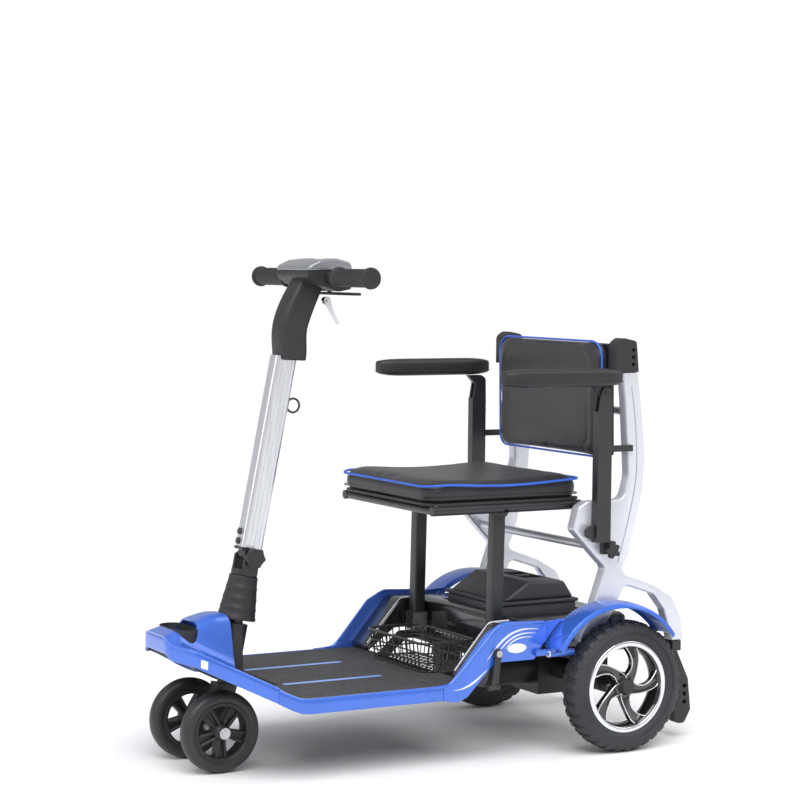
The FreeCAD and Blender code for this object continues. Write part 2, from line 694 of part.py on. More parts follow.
def fenders():
    """A painted arc over each rear wheel, on a round stay from the side panel."""
    front_angle, rear_angle = 29, 146
    inner = d.fender_r - d.fender_thick
    guards = []
    for side, hand in sides:
        def at(radius, angle):
            a = math.radians(angle)
            return Vector(d.fender_x + radius * math.cos(a),
                          d.fender_z + radius * math.sin(a), 0)
        middle = (front_angle + rear_angle) / 2
        edges = [
            Part.Arc(at(d.fender_r, front_angle), at(d.fender_r, middle),
                     at(d.fender_r, rear_angle)),
            Part.LineSegment(at(d.fender_r, rear_angle), at(inner, rear_angle)),
            Part.Arc(at(inner, rear_angle), at(inner, middle), at(inner, front_angle)),
            Part.LineSegment(at(inner, front_angle), at(d.fender_r, front_angle)),
        ]
        body = doc.addObject("PartDesign::Body", "fender_" + side)
        pad(body, sketch(body, "XZ_Plane", edges), "fender_out_y - fender_in_y")
        place(body, 0, "%d * (fender_out_y + fender_in_y) / 2" % hand, 0)
        guards.append(body)
        tip = at(d.fender_r, front_angle)
        stay = tube_x("stay_tube_" + side, 7, 58, tip.x - 56, "%d * 243" % hand, tip.y - 13)
        ear = box("stay_ear_" + side, 12, 12, 7.7, tip.x - 14, "%d * 243" % hand, tip.y - 10)
        foot = box("stay_foot_" + side, 34, 8, 12, tip.x - 8,
                   "%d * (deck_half + seat_gap + 4)" % hand, tip.y - 16)
        guards.append(fuse("stay_" + side, stay, ear, foot))
    node(group("guards", *guards), "fenders")


def anti_tips():
    """A drilled skid behind each rear wheel, held clear of the ground."""
    skids = []
    for side, hand in sides:
        points = [(-500.5, 177.7), (-519, 177.7), (-548, 118, 10), (-555, 56, 8),
                  (-540, 30, 8), (-520, 30, 10), (-508, 90, 12)]
        holes = [(-540, z, 4.5) for z in (104, 88, 72)]
        skids.append(plate("skid_" + side, points, 22, "%d * 196" % hand, holes))
    node(group("skids", *skids), "anti_tip_skids")


def release_pedal():
    """The two-legged pedal that hangs on the left panel and frees the folding frame."""
    y = "deck_half + 4.3"
    x, z = -84, 208
    boss = bar("pedal_boss", 9, 7, x, y, z)
    legs = [plate("pedal_leg_%d" % i,
                  [(x - 8, z), (x - 2 + 9 * i, z - 62, 3), (x + 7 + 9 * i, z - 66, 3),
                   (x + 6, z)], 3.5, "deck_half + %g" % (2.6 + 3.5 * i)) for i in (0, 1)]
    tread = box("pedal_tread", 26, 8, 9, x - 4, "deck_half + 4.6", z - 68)
    body = fuse("pedal_body", boss, *legs, tread)
    hole = bar("pedal_hole", "4 + run_gap", 20, x, y, z)
    node(cut("pedal", body, hole), "release_pedal")
    shank = bar("pedal_shank", 4, 7.8, x, "deck_half + 4.2", z)
    head = bar("pedal_head", 6.5, 3, x, "deck_half + 9.6", z)
    return fuse("pedal_bolt", shank, head)


# ---- steering column and front wheels ------------------------------------------------------

def steering():
    """Stem, yoke, boot, axle and the clevis that carries the tiller hinge."""
    axle_u, axle_w = to_axis(front_axle_x, d.front_wheel_r)
    stem = axis_rod("stem_rod", "stem_r", -240, -36)
    points = [(-20, -240), (-18, -258, 8), (axle_u - 20, axle_w + 12, 10),
              (axle_u - 18, axle_w - 18, 16), (axle_u + 18, axle_w - 18, 16),
              (axle_u + 18, axle_w + 16, 14), (20, -262, 14), (20, -240)]
    leg = plate("yoke_leg", points, 32, holes=[(axle_u, axle_w, d.front_axle_r)])
    node(fuse("stem_and_yoke", stem, tilted(leg)), "steering_fork")
    length = 2 * (d.front_wheel_y + d.front_tyre_w / 2 + 9)
    pieces = [cross_rod("axle", "front_axle_r", length, axle_u, axle_w)]
    rims_in = d.front_wheel_y - d.front_tyre_w / 2 - 1
    for side, hand in sides:
        long = rims_in - 0.3 - 16
        mid = hand * (16 + long / 2)
        ring = cross_rod("spacer_%s_out" % side, 10, long, axle_u, axle_w, mid)
        hole = cross_rod("spacer_%s_in" % side, "front_axle_r", long + 2, axle_u, axle_w, mid)
        pieces.append(cut("spacer_" + side, ring, hole))
        face = d.front_wheel_y + d.front_tyre_w / 2 + 1.3
        ring = cross_rod("nut_%s_out" % side, 10.5, 6, axle_u, axle_w, hand * (face + 3))
        hole = cross_rod("nut_%s_in" % side, "front_axle_r", 8, axle_u, axle_w,
                         hand * (face + 3))
        pieces.append(cut("nut_" + side, ring, hole))
    node(group("axle_set", *pieces), "front_axle")

    cone = doc.addObject("Part::Cone", "boot_out")
    cone.Radius1, cone.Radius2, cone.Height = 36, 26, 82
    inner = doc.addObject("Part::Cone", "boot_in")
    inner.Radius1, inner.Radius2, inner.Height = 33, 22, 79
    tilted(cone, w=-118)
    tilted(inner, w=-118.5)
    hole = axis_rod("boot_neck", "stem_r + run_gap", -60, 0)
    node(cut("boot", cone, inner, hole), "column_boot")

    ear_in = d.tube_d / 2 + 1
    base = axis_rod("clevis_base", 25, -35.7, -25)
    ears = []
    for hand in (1, -1):
        points = [(-15, -34), (15, -34), (15, 0), (0, 15, 14.5), (-15, 0)]
        ear = plate("clevis_ear_%d" % (hand + 1), points, 6,
                    holes=[(0, 0, d.pivot_r)])
        ears.append(tilted(ear, y=hand * (ear_in + 3)))
    pin = cross_rod("pin", "pivot_r", 2 * ear_in + 22, 0, 0)
    node(group("clevis", fuse("clevis_body", base, *ears), pin), "hinge_clevis")
    knob = cross_rod("knob_disc", 16.5, 13, 0, 0, ear_in + 15)
    bore = cross_rod("knob_bore", "pivot_r + run_gap", 9, 0, 0, ear_in + 8)
    lobes = [cross_rod("knob_lobe_%d" % i, 5, 13, 14 * math.cos(i * math.pi / 3),
                       14 * math.sin(i * math.pi / 3), ear_in + 15) for i in range(6)]
    node(cut("knob", fuse("knob_body", knob, *lobes), bore), "hinge_knob")


def front_wheels():
    half = d.front_tyre_w / 2
    r, bead = d.front_wheel_r, d.front_bead_r
    for side, hand in sides:
        x, y, z = "rear_axle_x + wheelbase", "%d * front_wheel_y" % hand, "front_wheel_r"
        tyre = [(-half + 3, bead), (half - 3, bead), (half, bead + 5, 2.5),
                (half, r - 10, 8), (half - 9, r, 9), (-half + 9, r, 9), (-half, r - 10, 8),
                (-half, bead + 5, 2.5)]
        node(turned("front_tyre_" + side, tyre, x, y, z), "front_tyre_" + side)
        front_rim("front_rim_" + side, hand, bead - d.seat_gap, half)


def front_rim(name, hand, outer, half):
    """A moulded rim with five double spokes."""
    x, y, z = "rear_axle_x + wheelbase", "%d * front_wheel_y" % hand, "front_wheel_r"
    ring = [(-half + 3, outer - 7), (half - 3, outer - 7), (half - 3, outer),
            (-half + 3, outer)]
    bore = d.front_axle_r + d.run_gap
    hub = d.front_hub_r
    core = [(-half - 1, bore), (half + 1, bore), (half + 1, hub), (-half - 1, hub)]
    parts = [turned(name + "_ring", ring, x, y, z), turned(name + "_core", core, x, y, z)]
    centre = Vector(front_axle_x, hand * d.front_wheel_y, d.front_wheel_r)
    for i in range(5):
        for way in (1, -1):
            near, far = 3 * way, 8.5 * way
            points = [(hub - 3, near), (outer - 4, far - 2.5 * way), (outer - 4, far + 2.5 * way),
                      (hub - 3, near + 4.5 * way)]
            spoke = plate("%s_spoke_%d_%d" % (name, i, way + 1), points, 14)
            spoke.Placement = Placement(centre, Rotation(Vector(0, 1, 0), 72 * i))
            parts.append(spoke)
    node(fuse(name, *parts), name)


# ---- tiller ----------------------------------------------------------------------------------

def tiller():
    """The fluted tube on its hinge foot, the shroud, the head and its controls."""
    start = 16
    end = start + d.tube_long
    w, t = d.tube_w / 2, d.tube_d / 2
    section = [(-w, -t, 9), (w, -t, 9), (w, t, 9), (-w, t, 9)]
    inner = [(-w + 3, -t + 3, 6), (w - 3, -t + 3, 6), (w - 3, t - 3, 6), (-w + 3, t - 3, 6)]
    body = doc.addObject("PartDesign::Body", "tube")
    pad(body, sketch(body, "XY_Plane", section, inner), "tube_long", False)
    node(tilted(body, w=start), "tiller_tube")
    points = [(-13, -1), (-13, start + 40), (13, start + 40), (13, -1), (0, -14, 13)]
    foot = plate("foot", points, d.tube_d - 6.6, holes=[(0, 0, d.pivot_r + d.run_gap)])
    collar = plate("collar", [(-w, start - 6, 3), (w, start - 6, 3), (w, start - 0.3),
                              (-w, start - 0.3)], "tube_d")
    bolts = [tilted(fuse("foot_body", foot, collar))]
    for i, place_w in enumerate((26, 44)):
        head = doc.addObject("Part::Cylinder", "tube_bolt_%d" % i)
        head.Radius, head.Height = 6, 5
        bolts.append(tilted(head, w + 0.2, 0, place_w, Rotation(Vector(0, 1, 0), 90)))
    node(group("foot_and_bolts", *bolts), "tiller_foot")

    ring = doc.addObject("Part::Torus", "hook_ring")
    ring.Radius1, ring.Radius2 = 13, 2
    tilted(ring, -w - 15.5, 0, 292, Rotation(Vector(1, 0, 0), 90))
    base = doc.addObject("Part::Box", "hook_base")
    base.Length, base.Width, base.Height = 3, 14, 26
    tilted(base, -w - 3.2, -7, 279)
    hook = fuse("hook", ring, base)
    node(hook, "bag_hook")

    shroud_points = [(262, 757, 6), (264, 792, 30), (248, 846, 30), (214, 912),
                     (166, 898), (180, 840, 40), (203, 790, 20), (211, 748, 6)]
    points = [(*to_axis(p[0], p[1]), *p[2:]) for p in shroud_points]
    blank = tilted(plate("shroud_blank", points, 54))
    tube_hole = doc.addObject("Part::Box", "shroud_hole")
    tube_hole.Length, tube_hole.Width, tube_hole.Height = d.tube_w + 0.6, d.tube_d + 0.6, 100
    tilted(tube_hole, -d.tube_w / 2 - 0.3, -d.tube_d / 2 - 0.3, end - 99.7)
    bar_hole = bar("shroud_bar_hole", "bar_r + run_gap", 200, "bar_x", 0, "bar_z")
    lever_x, lever_z, lever_pin = 178, 862, 2.2
    pin = bar("lever_pin", lever_pin, 18, lever_x, 30, lever_z)
    node(fuse("pinned_shroud", cut("shroud", blank, tube_hole, bar_hole), pin),
         "upper_shroud")

    shell = [(140, 884, 6), (166, 879, 14), (214, 893, 10), (232, 908, 8), (230, 917.7),
             (140, 917.7)]
    head_blank = plate("head_blank", shell, 132)
    clear = tilted(plate("head_clear", [(*to_axis(p[0], p[1]), *p[2:])
                                        for p in shroud_points], 54.6))
    hole = bar("head_bar_hole", "bar_r + run_gap", 200, "bar_x", 0, "bar_z")
    pin_hole = doc.addObject("Part::Cylinder", "paddle_pin_hole")
    bind(pin_hole, "Radius", "4 + run_gap")
    pin_hole.Height = 20
    pin_hole.Placement.Base = Vector(152, 0, 872)
    node(cut("head", head_blank, clear, hole, pin_hole), "head_housing")
    cover = [(138, 918), (232, 918), (228, 926, 12), (206, 937, 14), (172, 941, 30),
             (142, 934, 8)]
    node(plate("cover", cover, 136), "head_cover")

    tube = bar("bar_tube", "bar_r", "2 * bar_half - 6", "bar_x", 0, "bar_z")
    clear_head = bar("bar_bore", "bar_r - 2.5", "2 * bar_half", "bar_x", 0, "bar_z")
    node(cut("handlebar_tube", tube, clear_head), "handlebar")
    grips = []
    for side, hand in sides:
        mid = "%d * (bar_half - grip_long / 2)" % hand
        body = bar("grip_body_" + side, "grip_r", "grip_long", "bar_x", mid, "bar_z")
        flange = bar("grip_flange_" + side, "grip_r + 3", 5, "bar_x",
                     "%d * (bar_half - grip_long + 2.5)" % hand, "bar_z")
        bore = bar("grip_bore_" + side, "bar_r + run_gap", "grip_long", "bar_x",
                   "%d * (bar_half - grip_long / 2 - 2.9)" % hand, "bar_z")
        grips.append(cut("grip_cut_" + side, fuse("grip_" + side, body, flange), bore))
    node(group("grips", *grips), "handlebar_grips")

    paddle = [(-6, -118, 6), (8, -120, 6), (12, -60, 30), (10, 0), (12, 60, 30),
              (8, 120, 6), (-6, 118, 6), (-12, 60, 30), (-10, 0), (-12, -60, 30)]
    lever = plate("paddle", [(p[0] + 152, *p[1:]) for p in paddle], 5, plane="XY_Plane")
    lever.Placement.Base = Vector(0, 0, 875)
    stub = doc.addObject("Part::Cylinder", "paddle_pin")
    stub.Radius, stub.Height = 4, 16
    stub.Placement.Base = Vector(152, 0, 874)
    node(fuse("throttle", lever, stub), "throttle_lever")

    for name, y, r, long in (("ignition_key", -44, 5, 7), ("speed_dial", 0, 11, 8)):
        face = 139.7
        body = doc.addObject("Part::Cylinder", name + "_body")
        body.Radius, body.Height = r, long
        body.Placement = Placement(Vector(face - long, y, 900), Rotation(Vector(0, 1, 0), 90))
        tip = box(name + "_tip", 12 if r < 8 else 3, 3 if r < 8 else 4, 17,
                  face - long - (11.5 if r < 8 else 2.5), y, 891.5)
        node(fuse(name + "_fused", body, tip), name)

    lever_points = [(171, 870, 5), (185, 867, 5), (177, 848, 6), (157, 816, 3),
                    (149, 818, 3), (165, 846, 6)]
    node(plate("adjust_lever", lever_points, 12, 33.3,
               [(lever_x, lever_z, lever_pin + d.run_gap)]), "tilt_release_lever")


# ---- seat, folding frame and armrests ----------------------------------------------------------

def seat_posts():
    """The two posts of the folding linkage, their pins and their foot brackets."""
    r = d.post_d / 2
    posts, feet = [], []
    for side, hand in sides:
        lean_x = d.link_lean
        points = [(d.link_x - r, d.link_z - r, r * 0.98), (d.link_x + r, d.link_z - r, r * 0.98),
                  (upper_x + r, upper_z + r, r * 0.98), (upper_x - r, upper_z + r, r * 0.98)]
        holes = [(d.link_x, d.link_z, d.pivot_r + d.run_gap), (upper_x, upper_z, d.pivot_r)]
        posts.append(plate("post_" + side, points, "post_w", "%d * post_y" % hand, holes))
        posts.append(bar("pin_high_" + side, "pivot_r", "post_w + 9", upper_x,
                             "%d * (post_y + 4)" % hand, upper_z))
        feet.append(bar("pin_low_" + side, "pivot_r", "post_w + 10", "link_x",
                            "%d * post_y" % hand, "link_z"))
        ears = [box("ear_%s_%d" % (side, i), 30, ear_thick, 34, "link_x - 15",
                    "%d * (post_y + %d * (post_w / 2 + %g))" % (hand, way, 0.5 + ear_thick / 2),
                    "rail_top + 4") for i, way in enumerate((1, -1))]
        base = box("foot_" + side, 30, "post_w + %g" % (2 * ear_thick + 1), 4,
                   "link_x - 15", "%d * post_y" % hand, "rail_top")
        hole = bar("foot_hole_" + side, "pivot_r", 60, "link_x", "%d * post_y" % hand, "link_z")
        feet.append(cut("foot_cut_" + side, fuse("foot_body_" + side, base, *ears), hole))
    node(group("posts_and_pins", *posts), "seat_posts")
    return feet


def seat():
    """The seat's tube frame with its lugs, the pan and the cushion."""
    r = d.seat_tube_r
    front, rear = d.seat_front_x - 14, frame_hinge_x - 12
    long = front - rear
    tubes = []
    for side, hand in sides:
        y = "%d * seat_tube_y" % hand
        tubes.append(tube_x("seat_tube_" + side, "seat_tube_r", long, rear, y, "seat_tube_z"))
        lug_y = hand * (post_out + 3)
        tubes.append(plate("seat_lug_" + side,
                           [(upper_x - 15, d.seat_tube_z), (upper_x - 12, upper_z - 12, 8),
                            (upper_x + 12, upper_z - 12, 8), (upper_x + 15, d.seat_tube_z)],
                           4, lug_y))
        tubes.append(plate("seat_ear_" + side,
                           [(frame_hinge_x - 14, d.seat_tube_z + 4),
                            (frame_hinge_x - 14, upper_z - 14, 11),
                            (frame_hinge_x + 14, upper_z - 14, 11),
                            (frame_hinge_x + 14, d.seat_tube_z + 4)],
                           4, hand * (frame_in - 5)))
        tubes.append(box("seat_ear_web_" + side, 20, frame_in - 3 - d.seat_tube_y, 6,
                         frame_hinge_x - 10, hand * (frame_in - 3 + d.seat_tube_y) / 2,
                         d.seat_tube_z - 1))
    for name, x in (("front", front - r), ("middle", upper_x + 45), ("rear", rear + r)):
        tubes.append(bar("seat_bar_" + name, "seat_tube_r - 0.5", "2 * seat_tube_y", x, 0,
                         "seat_tube_z"))
    body = fuse("seat_tubes", *tubes)
    holes = [bar("seat_hole_%d" % i, "pivot_r + run_gap", 500, x, 0, upper_z)
             for i, x in enumerate((upper_x, frame_hinge_x))]
    rooms = [box("seat_room_" + side, 34, "post_w + 1", 60, upper_x - 17,
                 "%d * post_y" % hand, upper_z - 30) for side, hand in sides]
    open_pivot = bar("seat_open_pivot", "pivot_r + 0.8", 500, frame_hinge_x, 0, upper_z)
    node(cut("seat_frame", body, *holes, *rooms, open_pivot), "seat_frame")

    pan_z = d.seat_tube_z + r + 0.2
    pan = [(rear - 2, -d.seat_half + 8, 20), (d.seat_front_x - 8, -d.seat_half + 8, 30),
           (d.seat_front_x - 8, d.seat_half - 8, 30), (rear - 2, d.seat_half - 8, 20)]
    body = plate("pan", pan, 5, plane="XY_Plane")
    body.Placement.Base = Vector(0, 0, pan_z + 2.5)
    node(body, "seat_pan")
    low = pan_z + 5.2
    dip = d.seat_top - 10
    cushion = [(d.seat_rear_x, low), (d.seat_front_x, low, 10), (d.seat_front_x, dip, 16),
               (d.seat_front_x - 60, d.seat_top, 50), (-120, dip, 120),
               (d.seat_rear_x + 40, dip + 4, 60), (d.seat_rear_x, d.seat_top, 8)]
    node(plate("cushion", cushion, "2 * seat_half"), "seat_cushion")


def side_frames():
    """The painted side frames: upright, seat gusset, front leg and rear strut."""
    px, pz = frame_pivot_x, d.link_z
    hx, hz = frame_hinge_x, upper_z
    frames, caps, pins = [], [], []
    for side, hand in sides:
        points = [
            (-374, 728), (-380, 674, 40), (-390, 528, 60), (-378, 482, 20),
            (hx, hz + 16, 14), (hx + 20, hz + 6, 14), (hx + 32, 428, 8), (-311, 378, 8),
            (-338, 352, 12), (-306, 262, 30), (px + 15, pz - 4, 13), (px - 14, pz - 13, 13),
            (-352, 256, 12), (-376, 300, 10), (-384, 316, 12), (-452, 294, 14),
            (-478, 262, 16), (-499, 198.5), (-527, 198.5), (-521, 240, 20), (-497, 286, 24),
            (-448, 314, 24), (-374, 340, 12), (-391, 372, 30), (-423, 498, 60),
            (-427, 566, 60), (-415, 673, 60), (-407, 728),
        ]
        holes = [(px, pz, d.pivot_r + d.run_gap)]
        frames.append(plate("frame_" + side, points, "frame_w", "%d * frame_y" % hand, holes))
        cap = [(-356, 728.3), (-356, 784, 14), (-372, 794, 8), (-402, 788, 8),
               (-408, 728.3)]
        holes = [(-395, z, 3.5) for z in (743, 757, 771)]
        caps.append(plate("cap_" + side, cap, "frame_w + 2", "%d * frame_y" % hand, holes))
        shank = bar("pivot_%s" % side, "pivot_r", frame_out + 2 - rail_in,
                    px, hand * (frame_out - 4 + rail_in) / 2, pz)
        head = bar("pivot_head_" + side, "pivot_r + 4", 3, px,
                   "%d * (rail_y - rail_w / 2 - 1.5)" % hand, pz)
        pins.append(fuse("pivot_pin_" + side, shank, head))
        frames.append(bar("seat_hinge_pin_" + side, "pivot_r", 17.7, hx,
                          "%d * (frame_y - frame_w / 2 - 8.85)" % hand, hz))
    inside = "2 * frame_y - frame_w"
    frames.append(bar("lower_cross", 8, inside, -312, 0, 394))
    frames.append(bar("upper_cross", 8, inside, -404, 0, 650))
    node(group("frames", *frames), "side_frames")
    node(group("caps", *caps), "frame_caps")
    board = [(-374, 566, 3), (-367, 566, 3), (-363, 782, 3), (-370, 782, 3)]
    shell = plate("back_board", board, "2 * frame_y - frame_w - 8")
    stay = [box("board_foot_%s" % side, 28.7, 20, 16, -395.7, "%d * 120" % hand, 642)
            for side, hand in sides]
    node(fuse("board", shell, *stay), "backrest_board")
    cushion = [(-366.6, 560, 6), (-342, 566, 10), (-336, 620, 60), (-334, 730, 60),
               (-340, 788, 10), (-362.4, 786, 6)]
    node(plate("back_cushion", cushion, "2 * frame_y - frame_w - 10"), "backrest_cushion")
    return pins


def armrests():
    """Post, knob and socket on the folding frame; bracket and pad on their own hinges."""
    knobs, posts = [], []
    pivot_x = d.arm_post_x - 4
    top = 655
    for side, hand in sides:
        x = d.arm_post_x
        y = "%d * arm_post_y" % hand
        inner = hand * (frame_out + d.seat_gap + 4)
        post = box("arm_post_" + side, 32, 18, top - 404, x - 16, y, 404)
        link = box("arm_link_" + side, 60, 8, 12, x - 74, inner, 576)
        foot = box("arm_foot_" + side, 40, 8, 20, x - 24, inner, 408)
        disc = bar("arm_disc_" + side, 13, 6, x + 24, y, 424)
        arm = box("arm_disc_arm_" + side, 26, 6, 14, x + 2, y, 417)
        ears = [plate("arm_ear_%s_%d" % (side, i), [(x - 16, top - 10), (x + 16, top - 10),
                      (pivot_x + 11, d.arm_pivot_z + 11, 10.9),
                      (pivot_x - 11, d.arm_pivot_z + 11, 10.9)], 4,
                      hand * (d.arm_post_y + way * 7)) for i, way in enumerate((1, -1))]
        posts.append(fuse("arm_socket_" + side, post, link, foot, disc, arm, *ears))
        posts.append(bar("bracket_pin_" + side, "pivot_r - 1", 20, pivot_x, y, "arm_pivot_z"))
        hole = bar("arm_hole_" + side, "pivot_r - 1", 40, pivot_x, y, "arm_pivot_z")
        posts[-2] = cut("arm_post_cut_" + side, posts[-2], hole)

        knob_x, knob_z = x - 20, 388
        face = d.arm_post_y - 9
        block = box("star_block_" + side, 28, 12, 23.7, x - 34, hand * (face + 4), 380)
        stem = bar("star_stem_" + side, 5, 12, knob_x, hand * (face + 14), knob_z)
        star = [bar("star_disc_" + side, 11, 9, knob_x, hand * (face + 20), knob_z)]
        for i in range(5):
            angle = i * 2 * math.pi / 5
            star.append(bar("star_lobe_%s_%d" % (side, i), 4.5, 9,
                            knob_x + 11 * math.cos(angle), hand * (face + 20),
                            knob_z + 11 * math.sin(angle)))
        knobs.append(fuse("star_" + side, stem, block, *star))

        rise = d.arm_low - 0.3 - d.arm_pivot_z
        lug = plate("bracket_lug_" + side, [(pivot_x - 9, d.arm_pivot_z - 9, 8.9),
                    (pivot_x + 9, d.arm_pivot_z - 9, 8.9), (pivot_x + 30, d.arm_low - 0.3),
                    (pivot_x - 9, d.arm_low - 0.3, min(rise, 9) - 0.1)], 9.4, y)
        eye = bar("bracket_eye_" + side, "pivot_r - 1 + run_gap", 30, pivot_x, y,
                  "arm_pivot_z")
        node(cut("bracket_cut_" + side, lug, eye), "armrest_bracket_" + side)
        low, high = d.arm_low, d.arm_low + d.arm_thick
        pad_points = [(d.arm_rear_x + 8, low, 6), (d.arm_front_x - 4, low, 6),
                      (d.arm_front_x, high, 10), (d.arm_rear_x, high, 8)]
        node(plate("pad_" + side, pad_points, "arm_w", "%d * arm_y" % hand),
             "armrest_pad_" + side)
    node(group("star_knobs", *knobs), "armrest_knobs")
    node(group("arm_posts", *posts), "armrest_posts")


# ---- basket --------------------------------------------------------------------------------------

def basket():
    """An open wire basket: hoops round the sides, uprights and floor wires."""
    r = d.wire_r
    floor_z = trim_top - 1 + 0.3
    top_z = floor_z + d.basket_high
    front, rear, half = d.basket_front_x, d.basket_front_x - d.basket_long, d.basket_half
    wall = 2 * r
    outer = Part.makeBox(front - rear, 2 * half, d.basket_high, Vector(rear, -half, floor_z))
    inner = Part.makeBox(front - rear - 2 * wall, 2 * half - 2 * wall, d.basket_high,
                         Vector(rear + wall, -half + wall, floor_z + wall))
    node(shaped("basket", outer.cut(inner)), "basket")


# ---- build ---------------------------------------------------------------------------------------

for build in (chassis_frame, steering_head, floor, side_trims, side_panels, nose, rear_body,
              transaxle, rear_wheels, fenders, anti_tips, steering, front_wheels, tiller, seat,
              armrests, basket):
    build()
fasteners = seat_posts() + side_frames() + [release_pedal()]
node(group("fasteners", *fasteners), "pivot_fasteners")
doc.recompute()

faults = []
for obj in doc.Objects:
    bad = [state for state in obj.State if state in ("Invalid", "Error")]
    if bad:
        faults.append("%s (%s): %s" % (obj.Name, obj.Label, ", ".join(bad)))
for label, obj in nodes.items():
    shape = obj.Shape
    if shape.isNull() or not shape.isValid() or not shape.Solids:
        faults.append("%s: no valid solid" % label)
if faults:
    raise SystemExit("\n".join(faults))

os.makedirs("parts", exist_ok=True)
for label, obj in sorted(nodes.items()):
    obj.Shape.exportStep("parts/%s.step" % label)
whole = Part.makeCompound([obj.Shape for obj in nodes.values()]).BoundBox
print("%d nodes, box x %.1f..%.1f y %.1f..%.1f z %.1f..%.1f"
      % (len(nodes), whole.XMin, whole.XMax, whole.YMin, whole.YMax, whole.ZMin, whole.ZMax))
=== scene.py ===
import bmesh
import bpy
import math
from mathutils import Matrix, Vector


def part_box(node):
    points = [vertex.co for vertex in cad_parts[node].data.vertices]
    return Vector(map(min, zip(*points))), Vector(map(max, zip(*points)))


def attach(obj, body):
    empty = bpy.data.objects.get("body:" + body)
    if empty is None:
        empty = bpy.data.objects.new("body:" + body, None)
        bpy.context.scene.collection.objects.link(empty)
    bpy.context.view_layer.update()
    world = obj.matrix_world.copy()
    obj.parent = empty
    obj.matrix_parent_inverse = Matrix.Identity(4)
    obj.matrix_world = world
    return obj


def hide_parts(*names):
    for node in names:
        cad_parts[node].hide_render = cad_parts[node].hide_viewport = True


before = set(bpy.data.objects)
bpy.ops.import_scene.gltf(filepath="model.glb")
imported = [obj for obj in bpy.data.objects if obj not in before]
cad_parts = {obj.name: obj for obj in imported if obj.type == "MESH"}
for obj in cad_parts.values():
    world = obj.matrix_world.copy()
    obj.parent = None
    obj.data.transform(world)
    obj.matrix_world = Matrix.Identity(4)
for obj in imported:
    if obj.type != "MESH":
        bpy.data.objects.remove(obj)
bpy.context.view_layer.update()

scene = bpy.context.scene
sides = (("Left", "left", 1), ("Right", "right", -1))
mm = 0.001


# building tools

def newObject(name, bm):
    mesh = bpy.data.meshes.new(name)
    bmesh.ops.remove_doubles(bm, verts=bm.verts, dist=1e-6)
    bmesh.ops.dissolve_degenerate(bm, edges=bm.edges, dist=1e-7)
    bmesh.ops.recalc_face_normals(bm, faces=bm.faces)
    bm.to_mesh(mesh)
    bm.free()
    obj = bpy.data.objects.new(name, mesh)
    scene.collection.objects.link(obj)
    return obj


def settle(obj):
    graph = bpy.context.evaluated_depsgraph_get()
    mesh = bpy.data.meshes.new_from_object(obj.evaluated_get(graph))
    obj.modifiers.clear()
    obj.data = mesh
    return obj


def soften(obj, width, segments=3, angle=32):
    bevel = obj.modifiers.new("edges", "BEVEL")
    bevel.width = width
    bevel.segments = segments
    bevel.limit_method = "ANGLE"
    bevel.angle_limit = math.radians(angle)
    return settle(obj)


def subdivide(obj, levels=1):
    sub = obj.modifiers.new("smooth", "SUBSURF")
    sub.levels = levels
    sub.render_levels = levels
    return settle(obj)


def fit(obj, material, body, slotName, *nodes, angle=38):
    obj.data.materials.clear()
    obj.data.materials.append(material)
    obj.data.shade_smooth()
    obj.data.set_sharp_from_angle(angle=math.radians(angle))
    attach(obj, body)
    if nodes:
        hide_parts(*nodes)
    return obj


def joined(name, parts):
    bm = bmesh.new()
    for part in parts:
        part.data.transform(part.matrix_world)
        bm.from_mesh(part.data)
        bpy.data.objects.remove(part)
    mesh = bpy.data.meshes.new(name)
    bm.to_mesh(mesh)
    bm.free()
    obj = bpy.data.objects.new(name, mesh)
    scene.collection.objects.link(obj)
    return obj


def thicken(obj, thickness, outside):
    lean = sum((f.normal.dot(outside) * f.area for f in obj.data.polygons), 0.0)
    thick = obj.modifiers.new("thick", "SOLIDIFY")
    thick.thickness = thickness
    thick.offset = -1 if lean > 0 else 1
    settle(obj)
    bm = bmesh.new()
    bm.from_mesh(obj.data)
    bmesh.ops.recalc_face_normals(bm, faces=bm.faces)
    bm.to_mesh(obj.data)
    bm.free()
    return obj


def carve(obj, cutter):
    cut = obj.modifiers.new("cut", "BOOLEAN")
    cut.operation = "DIFFERENCE"
    cut.solver = "EXACT"
    cut.object = cutter
    settle(obj)
    bpy.data.objects.remove(cutter)
    return obj


def at(x, y, z):
    return Vector((x, y, z)) * mm


def turned(matrix, a, radius, across, h):
    c, s = math.cos(a), math.sin(a)
    return matrix @ Vector((radius * c - across * s, radius * s + across * c, h))


def spaced(line, gap):
    full = []
    for i, p in enumerate(line):
        q = line[(i + 1) % len(line)]
        parts = max(1, round((q - p).length / gap))
        full += [p.lerp(q, k / parts) for k in range(parts)]
    return full


def rounded(points, steps=6):
    line = []
    for i, point in enumerate(points):
        here = Vector(point[:2])
        radius = point[2] if len(point) > 2 else 0
        if not radius:
            line.append(here)
            continue
        before = (Vector(points[i - 1][:2]) - here).normalized()
        after = (Vector(points[(i + 1) % len(points)][:2]) - here).normalized()
        half = before.angle(after) / 2
        reach = radius / math.tan(half)
        start, end = here + before * reach, here + after * reach
        centre = here + (before + after).normalized() * (radius / math.sin(half))
        for k in range(steps + 1):
            t = k / steps
            spot = start.lerp(end, t)
            line.append(centre + (spot - centre).normalized() * radius)
    return line


